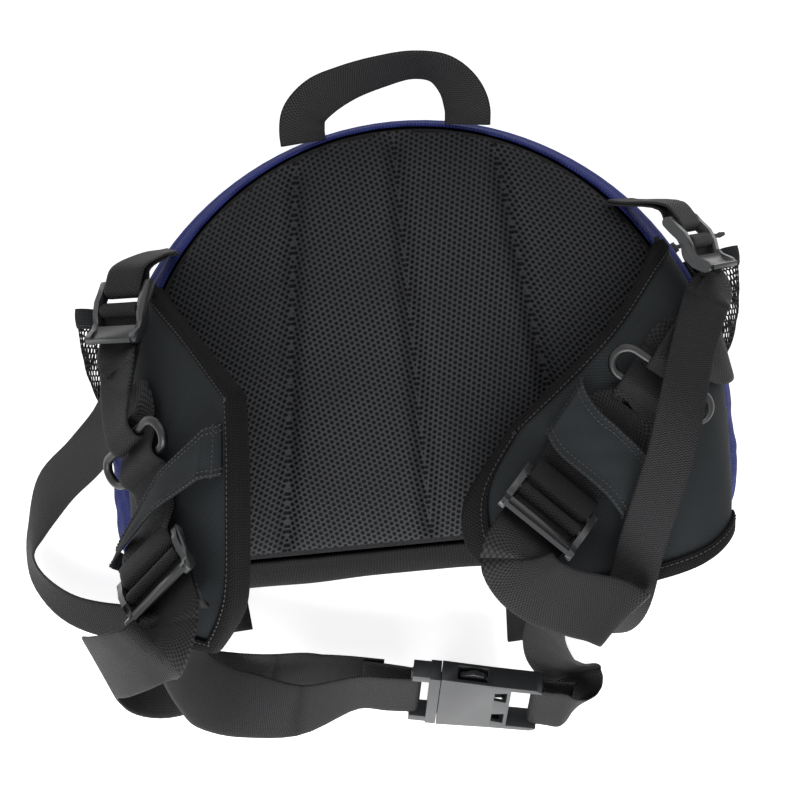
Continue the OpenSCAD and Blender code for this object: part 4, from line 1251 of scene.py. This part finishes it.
    def build(self) -> None:
        """Makes the wing."""
        self.pad()
        self.binding()
        self.tunnel()


# Webbing


@dataclass(frozen=True)
class Axes:
    """A fitting's own frame: origin and three directions."""

    origin: RGB
    x: RGB
    y: RGB
    z: RGB

    def at(self, x: float, y: float, z: float) -> Array:
        """Returns a place of this frame in the shared frame."""
        return np.array(self.origin) + x * np.array(self.x) + y * np.array(self.y) + z * np.array(self.z)

    def yz(self, route, sign: float = 1.0) -> list[list[float]]:
        """Returns stops for places along Y and Z, the webbing's width along X."""
        return [[*self.at(0, y, z), *(sign * np.array(self.x))] for y, z in route]

    def xz(self, route, sign: float = 1.0) -> list[list[float]]:
        """Returns stops for places along X and Z, the webbing's width along Y."""
        return [[*self.at(x, 0, z), *(sign * np.array(self.y))] for x, z in route]


def round_bar(u: float, z: float, r: float, angles: Sequence[float]) -> list[tuple[float, float]]:
    """Returns places round a bar."""
    return [(u + r * math.cos(math.radians(a)), z + r * math.sin(math.radians(a))) for a in angles]


def facing(origin: Sequence[float], y: Sequence[float], up: Sequence[float]) -> Axes:
    """Returns a frame from its origin, its Y direction and a hint for its Z."""
    v = unit(np.array(y, float))
    u = unit(np.cross(v, np.array(up, float)))
    return Axes(tuple(origin), tuple(u), tuple(v), tuple(np.cross(u, v)))


LOCKS = {
    "stabiliser_lock_left": facing((-154, 69, 119.5), (-0.25, -0.92, 0.28), (-0.55, 0.05, 0.8)),
    "stabiliser_lock_right": facing((156, 76, 123), (0.45, -0.85, 0.2), (0.71, 0.48, 0.47)),
    "belt_lock_left": facing((-144, -72, 180), (0.22, -0.6, 0.75), (-0.62, 0.48, 0.55)),
    "belt_lock_right": facing((61, -58, 167), (-0.52, -0.54, 0.66), (0.6, 0.6, 0.6)),
}
RINGS = {
    Side.LEFT: Axes(
        (-151.9, -7.6, 148.9), (0.555, 0.411, 0.723), (-0.421, 0.889, -0.183), (-0.718, -0.203, 0.666)
    ),
    Side.RIGHT: Axes(
        (127.4, 1.7, 153.2), (0.780, -0.624, -0.032), (0.608, 0.746, 0.273), (-0.147, -0.232, 0.962)
    ),
}
BUCKLE = Axes((14, -165, 28), (0.9816, -0.1908, 0), (0.1094, 0.5630, 0.8192), (-0.1563, -0.8041, 0.5736))

LOAD_WRAP = [(24, -5), (15, -5.6), (8, -5.8), (3.5, -5)]
LOAD_WRAP += round_bar(0, 1, 3.5, (255, 215, 180, 140, 100, 60, 20, -15))
LOAD_WRAP += [(5, -2), (9, -2.4), (15, -2.2), (23, -1.5)]
ANCHOR_WRAP = [(-24, 2.6), (-16, 4)] + round_bar(-11.5, 0.5, 3.5, (100, 60, 20, -20, -60, -100))
ANCHOR_WRAP += [(-16, -2.8), (-24, -1.4)]
RING_WRAP = [(17, -1.6), (13, -3)] + round_bar(8, 0, 3.7, (-90, -135, 180, 135, 90)) + [(14, 3.6)]
RING_THREAD = [(20, -13.4), (12, -9.6), (8, -6.9), (4, -5), (0, -1.5)]
RING_THREAD += [(-4.5, 2.6), (-8, 4), (-11.5, 2.6), (-15, 0.4), (-22, 1.8)]
MALE_WRAP = [(-63, -5), (-47, -4.4), (-37, -3.8)] + round_bar(-33, 0, 3.5, (-100, -60, -20, 20, 60, 100))
MALE_WRAP += [(-37, 3.8), (-47, 4.4), (-63, 5)]
LAP = [(-91, -6), (-73, -7.2), (-51, -7.2)]
FEMALE_WRAP = [(57.7, -4.4), (49.7, -4), (41.7, -3.8)] + round_bar(37.7, 0, 3.5, (-100, -140, 180, 140, 100))
FEMALE_WRAP += [(41.7, 3.7), (45, 3.9)]
FOLD_START = (53, 0, 3.9)
FOLD_TURN = math.radians(68)
FOLD_RADIUS = 9.0


def soft_fold(axes: Axes, start: RGB, turn: float, radius: float, steps: int = 7) -> list[list[float]]:
    """Returns stops of webbing that runs along X and folds over a slanting line, away from Z.

    Args:
        axes: frame of the webbing, its width along Y.
        start: place in that frame where the fold begins.
        turn: angle from X to the line that it folds over; it leaves at twice this angle.
        radius: radius of the fold.
        steps: number of stops.

    Returns:
        The stops, their width turned against Y.
    """
    x, y, z = (np.array(v) for v in (axes.x, axes.y, axes.z))
    line = math.cos(turn) * x + math.sin(turn) * y
    over = math.sin(turn) * x - math.cos(turn) * y
    stops = []
    for a in np.linspace(0, math.pi, steps):
        bent = over * math.cos(a) - z * math.sin(a)
        move = a / math.tan(turn) * line + math.sin(a) * over - (1 - math.cos(a)) * z
        stops.append([*(axes.at(*start) + radius * move), *(math.cos(turn) * bent - math.sin(turn) * line)])
    return stops


HANDLE = (
    (-49, 151.5, 102, 1, 0.3, 0), (-49, 158, 105.7, 1, 0.25, 0), (-47, 166, 109, 0.8, -0.4, -0.35),
    (-38, 174, 112.5, 0.4, -0.75, -0.5), (-23, 180, 115.5, 0.25, -0.66, -0.7),
    (-5, 184, 118, 0.15, -0.58, -0.8),
    (14, 186, 119, -0.05, -0.5, -0.87), (29, 182.5, 117.5, -0.4, -0.45, -0.8),
    (38, 173, 112.5, -0.75, -0.3, -0.55), (41.5, 161.5, 107.2, -1, 0.1, -0.1), (41, 153, 102.5, -1, 0.27, 0),
)
TAILS = {
    Side.LEFT: (
        (-156, 38, 135, 0.5, -0.2, 0.8), (-161, 23, 134, 0.45, -0.45, 0.73), (-170, 7, 118, 0.55, -0.55, 0.6),
        (-185, -7, 90, 0.7, -0.64, 0.25), (-207, -23, 58, 0.65, -0.6, 0.35),
        (-222, -42, 35, 0.45, -0.35, 0.8),
        (-229, -58, 24, 0.25, 0, 0.95), (-226, -76, 19, 0.35, 0.3, 0.88), (-212, -93, 17, 0.4, 0.55, 0.7),
        (-190, -103, 16, 0.3, 0.78, 0.55), (-150, -108, 15, 0.12, 0.85, 0.5),
        (-108, -106, 14, 0.05, 0.87, 0.48),
    ),
    Side.RIGHT: (
        (157, 44, 142, 0.75, 0.3, -0.55), (145, 18, 161, 0.9, 0, -0.4), (136, -8, 171, 0.95, -0.25, -0.15),
        (128, -33, 172, 0.93, -0.33, 0), (118, -58, 166, 0.92, -0.37, 0), (108.5, -83, 154, 0.92, -0.38, 0),
        (100, -110, 140.5, 0.92, -0.38, 0), (92, -122, 119, 0.9, -0.42, 0.05), (81, -124, 92, 0.8, -0.5, 0.2),
        (61, -121, 57, 0.6, -0.6, 0.5), (39, -124, 30, 0.3, -0.75, 0.55),
    ),
}
LEFT_FRONT_LEG = (
    (-84, -163, 40, 0.05, 0.8, 0.6), (-112, -156, 52, 0.1, 0.95, 0.3), (-131, -145, 80, 0.3, 0.93, 0),
    (-138, -130, 115, 0.3, 0.92, -0.2), (-139, -114, 150, 0.45, 0.85, -0.25),
    (-137, -100, 181, 0.6, 0.75, -0.1),
)
LEFT_TAIL_LEG = (
    (-137, -95, 205, 0.8, 0.5, 0.25), (-144, -106, 208, 0.85, 0.1, 0.3), (-159, -112, 195, 0.75, -0.5, 0.25),
    (-174, -117, 165, 0.5, -0.8, 0.1), (-184, -121, 124, 0.4, -0.9, 0), (-179, -130, 94, 0.4, -0.9, -0.05),
    (-158, -138, 67, 0.3, -0.9, -0.25), (-130, -140, 47, 0.1, -0.8, -0.55), (-98, -142, 36, 0, -0.65, -0.75),
)
RIGHT_LEG = (
    (66, -151, 40, -0.87, 0.02, -0.5), (62, -142, 58, -0.8, 0.38, -0.35),
    (60.5, -131, 84, -0.55, 0.65, -0.45),
    (56, -117, 110, -0.5, 0.65, -0.5), (50, -101, 140, -0.75, 0.45, -0.45), (43, -85, 167, -0.8, 0.6, 0),
)
RIGHT_TAIL_LEG = (
    (42, -80, 184, -0.8, 0.6, 0), (47, -92, 182, -0.98, 0.1, 0), (59, -102, 176, -0.92, -0.35, 0),
    (73, -108, 168, -0.84, -0.54, 0), (86, -113, 161, -0.8, -0.6, 0), (96, -119, 154, -0.8, -0.6, 0),
    (94.5, -118, 149, -0.8, -0.6, 0), (87, -112, 152, -0.8, -0.6, 0),
)
SEATS = {Side.LEFT: (-136, 98, 103), Side.RIGHT: (124, 102, 104.5)}
SEAMS = {Side.LEFT: (-125.5, 99.5, 99.5), Side.RIGHT: (119, 103.5, 100.5)}


@dataclass(frozen=True)
class Follow:
    """The body that a stretch of webbing moves with; where a second body is given, the stretch is only baked
    in place.
    """

    first: str
    second: str = ""
    start: RGB = (0, 0, 0)
    end: RGB = (0, 0, 1)

    def apply(self, piece: Piece) -> None:
        """Hangs a piece on the body; with a second body given, only bakes the piece's place into its mesh."""
        if self.second:
            np.array(self.start) * MM
            np.array(self.end) * MM
            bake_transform(piece)
        else:
            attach(piece, self.first)


@dataclass
class Strap:
    """Webbing along a route, in stretches that follow different bodies."""

    node: str
    width: float
    thick: float = 1.6
    fine: int = 5
    stops: list = field(default_factory=list)
    stretches: list = field(default_factory=list)

    def add(self, stops: Sequence, follow: Follow) -> "Strap":
        """Adds stops to the route that follow a body, and returns the strap."""
        first = max(len(self.stops) - 1, 0)
        self.stops += [list(s) for s in stops]
        self.stretches.append((first, len(self.stops) - 1, follow))
        return self

    def frames(self) -> tuple[Array, Array, Array, Array]:
        """Returns places, width directions, face directions and run along the faired route."""
        route = Spline(self.stops).fair(self.fine)
        places = route[:, :3]
        go = np.gradient(places, axis=0)
        face = np.cross(go, route[:, 3:])
        face /= np.maximum(np.linalg.norm(face, axis=1, keepdims=True), 1e-9)
        side = np.cross(face, go)
        side /= np.maximum(np.linalg.norm(side, axis=1, keepdims=True), 1e-9)
        return places, side, face, run_along(places)

    def line(self, across: float, lift: float, first: float, last: float) -> Array:
        """Returns a line on the webbing's face, from one share of its run to another."""
        places, side, face, run = self.frames()
        keep = (run >= first * run[-1]) & (run <= last * run[-1])
        return (places + side * across * self.width / 2 + face * (self.thick / 2 + lift))[keep]

    def build(self) -> None:
        """Makes the stretches."""
        places, side, face, run = self.frames()
        across = np.array([-1, -0.94, -0.8, -0.45, 0, 0.45, 0.8, 0.94, 1])
        lift = self.thick / 2 * np.array([0.35, 0.85, 1, 0.95, 0.92, 0.95, 1, 0.85, 0.35])
        u = np.concatenate([across, across[::-1]]) * self.width / 2
        for number, (first, last, follow) in enumerate(self.stretches):
            pick = slice(first * self.fine, last * self.fine + 1)
            p, s, f, v = places[pick], side[pick], face[pick], run[pick]
            top = [p + s * c * self.width / 2 + f * h for c, h in zip(across, lift)]
            low = [p + s * c * self.width / 2 - f * h for c, h in zip(across[::-1], lift[::-1])]
            rings = np.stack(top + low, axis=1)
            uv = np.stack(np.broadcast_arrays(u, v[:, None]), axis=2)
            piece = loft(f"{self.node}_web_{number}", rings, uv, "webbing")
            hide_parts(self.node)
            follow.apply(piece)


@dataclass
class Harness:
    """All webbing of the pack."""

    wings: dict

    def lock_loop(self, lock: str, side: Side) -> Follow:
        """Returns a follow naming the wing and a lock's centre bar, which only bakes the webbing in place."""
        axes = LOCKS[lock]
        return Follow(side.wing, lock, tuple(axes.at(0, 22, 0)), tuple(axes.at(0, 7, 0)))

    def floor_to_wing(self, side: Side, low: float, high: float) -> Follow:
        """Returns a follow naming the floor and a wing by height, which only bakes the webbing in place."""
        return Follow("pack", side.wing, (0, 0, low), (0, 0, high))

    def handle(self) -> None:
        """Makes the grab handle and its sewing."""
        strap = Strap("grab_handle", STRAP_WIDTH, fine=8).add(HANDLE, Follow("handle"))
        strap.build()
        rows = [strap.line(0.0, 0.2, 0.33, 0.74)]
        lines = [strap.line(c, 0.2, 0, 1) for c in np.linspace(-0.85, 0.85, 14)]
        ends = [np.array([line[k] for line in lines]) for k in (3, -4)]
        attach(sew("handle_stitches", rows + ends, SEWING_PITCH), "handle")

    def stabiliser(self, side: Side) -> None:
        """Makes a stabiliser strap and its anchor tab."""
        lock = f"stabiliser_lock_{side.tag}"
        axes = LOCKS[lock]
        wing = Follow(side.wing)
        strap = Strap(f"stabiliser_strap_{side.tag}", STRAP_WIDTH)
        strap.add(RINGS[side].yz(RING_WRAP) + axes.yz(LOAD_WRAP[:1], -1), wing)
        strap.add(axes.yz(LOAD_WRAP[1:], -1) + [TAILS[side][0]], self.lock_loop(lock, side))
        strap.add(TAILS[side][1:], self.floor_to_wing(side, 30, 98))
        strap.build()
        seat, seam = np.array(SEATS[side], float), np.array(SEAMS[side], float)
        up = np.array(axes.z) * 1.1
        upper, lower = ([[*(place + lift), *axes.x] for place in (seam, seat)] for lift in (up, -up))
        stops = upper + axes.yz(ANCHOR_WRAP) + lower[::-1]
        follow = Follow("pack", side.wing, tuple(seat), tuple(axes.at(0, -20, 0)))
        Strap(f"anchor_tab_{side.tag}", STRAP_WIDTH).add(stops, follow).build()

    def load(self, side: Side, before: Sequence, after: Sequence) -> None:
        """Makes a load webbing over its wing, through the ring and the tunnel."""
        wing, lock, ring = self.wings[side], LOCKS[f"belt_lock_{side.tag}"], RINGS[side]

        def stop(a: float, b: float, lift: float, heading: Array) -> list[float]:
            return [*wing.skin(a, b, lift), *unit(np.cross(wing.out(a, b), heading))]

        stops = [stop(a, b, h, wing.at(a + 0.1, b) - wing.at(a, b)) for a, b, h in before]
        stops += ring.yz(RING_THREAD)
        stops += [stop(a, b, h, np.array(lock.y)) for a, b, h in after]
        stops += lock.yz(ANCHOR_WRAP, -1)[::-1]
        Strap(f"load_webbing_{side.tag}", BELT_WIDTH).add(stops, Follow(side.wing)).build()

    def belt_left(self) -> None:
        """Makes the left waist strap, from the buckle's male half to its lapped end."""
        axes = LOCKS["belt_lock_left"]
        buckle = Follow("pack", "buckle_male", tuple(BUCKLE.at(-94, 0, 0)), tuple(BUCKLE.at(-45, 0, 0)))
        rise = self.floor_to_wing(Side.LEFT, 40, 158)
        strap = Strap("waist_strap_left", BELT_WIDTH)
        strap.add(BUCKLE.xz(MALE_WRAP) + [LEFT_FRONT_LEG[0]], buckle)
        strap.add(LEFT_FRONT_LEG[1:], rise)
        strap.add(axes.yz(LOAD_WRAP, -1) + [LEFT_TAIL_LEG[0]], self.lock_loop("belt_lock_left", Side.LEFT))
        strap.add(LEFT_TAIL_LEG[1:], rise)
        strap.add(BUCKLE.xz(LAP, -1), buckle)
        strap.build()

    def belt_right(self) -> None:
        """Makes the right waist strap, from the buckle's female half to its folded tail."""
        axes = LOCKS["belt_lock_right"]
        strap = Strap("waist_strap_right", BELT_WIDTH)
        fold = soft_fold(BUCKLE, FOLD_START, FOLD_TURN, FOLD_RADIUS)
        strap.add(BUCKLE.xz(FEMALE_WRAP, -1) + fold, Follow("pack"))
        strap.add(RIGHT_LEG, self.floor_to_wing(Side.RIGHT, 40, 140))
        strap.add(axes.yz(LOAD_WRAP) + [RIGHT_TAIL_LEG[0]], self.lock_loop("belt_lock_right", Side.RIGHT))
        strap.add(RIGHT_TAIL_LEG[1:], Follow(Side.RIGHT.wing))
        strap.build()

    def build(self) -> None:
        """Makes all webbing."""
        self.handle()
        for side in Side:
            self.stabiliser(side)
        self.load(Side.LEFT, ((0.1, 0.47, 1.8), (0.24, 0.465, 2.3)), ((0.585, 0.665, 3.4),))
        self.load(Side.RIGHT, ((0.1, 0.44, 3.0), (0.24, 0.43, 3.8), (0.36, 0.42, 3.8)), ((0.77, 0.36, 2.8),))
        self.belt_left()
        self.belt_right()


# Fittings


@dataclass(frozen=True)
class Fitting:
    """Rigid part whose solid is kept and whose edges are rounded."""

    node: str
    body: str
    finish: str
    edge: float
    flat_angle: float = math.radians(1)
    edge_angle: float = math.radians(32)
    sharp_angle: float = math.radians(40)

    def build(self) -> None:
        """Makes the rounded part over its solid."""
        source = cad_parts[self.node]
        piece = linked(self.node + "_part", source.data.copy())
        work = bmesh.new()
        work.from_mesh(piece.data)
        bmesh.ops.remove_doubles(work, verts=work.verts, dist=1e-6)
        bmesh.ops.dissolve_limit(work, angle_limit=self.flat_angle, verts=work.verts, edges=work.edges)
        work.to_mesh(piece.data)
        work.free()
        bevel = piece.modifiers.new("edge", "BEVEL")
        bevel.width = self.edge * MM
        bevel.segments = 3
        bevel.limit_method = "ANGLE"
        bevel.angle_limit = self.edge_angle
        baked(piece)
        piece.data.shade_smooth()
        piece.data.set_sharp_from_angle(angle=self.sharp_angle)
        PAINT.paint(piece, self.finish)
        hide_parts(self.node)
        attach(piece, self.body)


FITTINGS = (
    *(Fitting(lock, lock, "lock_plastic", 0.7) for lock in LOCKS),
    *(Fitting(f"strap_ring_{side.tag}", side.wing, "coated_ring", 0.3) for side in Side),
    # The buckle parts use the lighter plastic, a painted highlight over the lock plastic's colour.
    Fitting("buckle_female", "pack", "buckle_plastic_painted_highlight", 0.9),
    Fitting("buckle_male", "buckle_male", "buckle_plastic_painted_highlight", 0.8),
    *(Fitting(arm, arm, "buckle_plastic_painted_highlight", 0.5) for arm in ("buckle_arm_upper", "buckle_arm_lower")),
    Fitting("main_slider", "main_slider", "zip_metal", 0.25),
    Fitting("main_pull", "main_pull", "lock_plastic", 0.25),
    Fitting("pocket_slider", "pocket_slider", "zip_metal", 0.25),
    Fitting("pocket_pull", "pocket_pull", "lock_plastic", 0.25),
)


# Studio


@dataclass(frozen=True)
class Lamp:
    """A square soft lamp that faces the pack."""

    name: str
    place: RGB
    size: float
    power: float

    def build(self) -> None:
        """Adds the lamp."""
        data = bpy.data.lights.new(self.name, "AREA")
        data.size = self.size
        data.energy = self.power
        lamp = linked(self.name, data)
        lamp.location = self.place
        lamp.rotation_euler = (Vector((0, 0, 0.08)) - Vector(self.place)).to_track_quat("-Z", "Y").to_euler()


@dataclass(frozen=True)
class Studio:
    """Floor, light and camera of the photograph."""

    ambient: float = 0.36
    paper: float = 0.8
    lens: float = 123.75
    eye: RGB = (-0.010, 0.007, 1.600)
    roll: float = -math.atan2(0.0958, 0.9954)
    lamps: tuple[Lamp, ...] = (
        Lamp("key", (-0.15, -0.72, 0.55), 0.7, 9.0),
        Lamp("fill", (0.35, 0.9, 1.1), 1.0, 3.0),
    )

    def floor(self) -> None:
        """Adds a pale floor that shows as white round the pack and keeps its shadow."""
        half, below = 2.5, -0.0008
        corners = [(x * half, y * half, below) for x, y in ((-1, -1), (1, -1), (1, 1), (-1, 1))]
        mesh = bpy.data.meshes.new("floor")
        mesh.from_pydata(corners, [], [(0, 1, 2, 3)])
        floor = linked("floor", mesh)
        graph = Graph("floor_paper")
        grain = graph.noise(60.0)
        graph.shade(
            Base_Color=graph.blend(grain, (0.86, 0.86, 0.86), (0.9, 0.9, 0.9)),
            Roughness=0.9,
            Emission_Color=graph.blend(graph.seen(), (0, 0, 0), (1, 1, 1)),
            Emission_Strength=self.paper,
        )
        mesh.materials.append(graph.material)

    def world(self) -> None:
        """Lights the pack evenly and shows white behind it."""
        world = bpy.data.worlds.new("studio")
        world.use_nodes = True
        bpy.context.scene.world = world
        tree = world.node_tree
        path = tree.nodes.new("ShaderNodeLightPath")
        seen = path.outputs["Is Camera Ray"]
        for kind in ("Is Glossy Ray", "Is Transmission Ray"):
            either = tree.nodes.new("ShaderNodeMath")
            either.operation = "MAXIMUM"
            tree.links.new(seen, either.inputs[0])
            tree.links.new(path.outputs[kind], either.inputs[1])
            seen = either.outputs[0]
        level = tree.nodes.new("ShaderNodeMapRange")
        level.inputs["To Min"].default_value = self.ambient
        level.inputs["To Max"].default_value = 1.0
        tree.links.new(seen, level.inputs["Value"])
        background = tree.nodes["Background"]
        background.inputs["Color"].default_value = (1, 1, 1, 1)
        tree.links.new(level.outputs[0], background.inputs["Strength"])

    def camera(self) -> None:
        """Adds the camera, straight above the pack and turned a little."""
        data = bpy.data.cameras.new("camera")
        data.sensor_width = 36.0
        data.lens = self.lens
        data.clip_end = 20.0
        camera = linked("camera", data)
        camera.location = self.eye
        camera.rotation_euler = (0.0, 0.0, self.roll)
        bpy.context.scene.camera = camera

    def build(self) -> None:
        """Sets the scene round the pack."""
        self.floor()
        self.world()
        self.camera()
        for lamp in self.lamps:
            lamp.build()
        bpy.context.scene.view_settings.view_transform = "Standard"


def main() -> None:
    """Builds the dressed pack and its studio."""
    logging.basicConfig(level=logging.INFO)
    bag = BagShell()
    bag.build()
    BackPad().build()
    for run in (ZipRun("main_zip", 169, -12, 50, 16), ZipRun("pocket_zip", 118, -6, 8.75, 10.5)):
        run.build()
    wings = {side: Wing(side) for side in Side}
    for side in Side:
        SidePocket(side, bag).build()
        wings[side].build()
    Harness(wings).build()
    for fitting in FITTINGS:
        fitting.build()
    Studio().build()


if __name__ == "__main__":
    main()
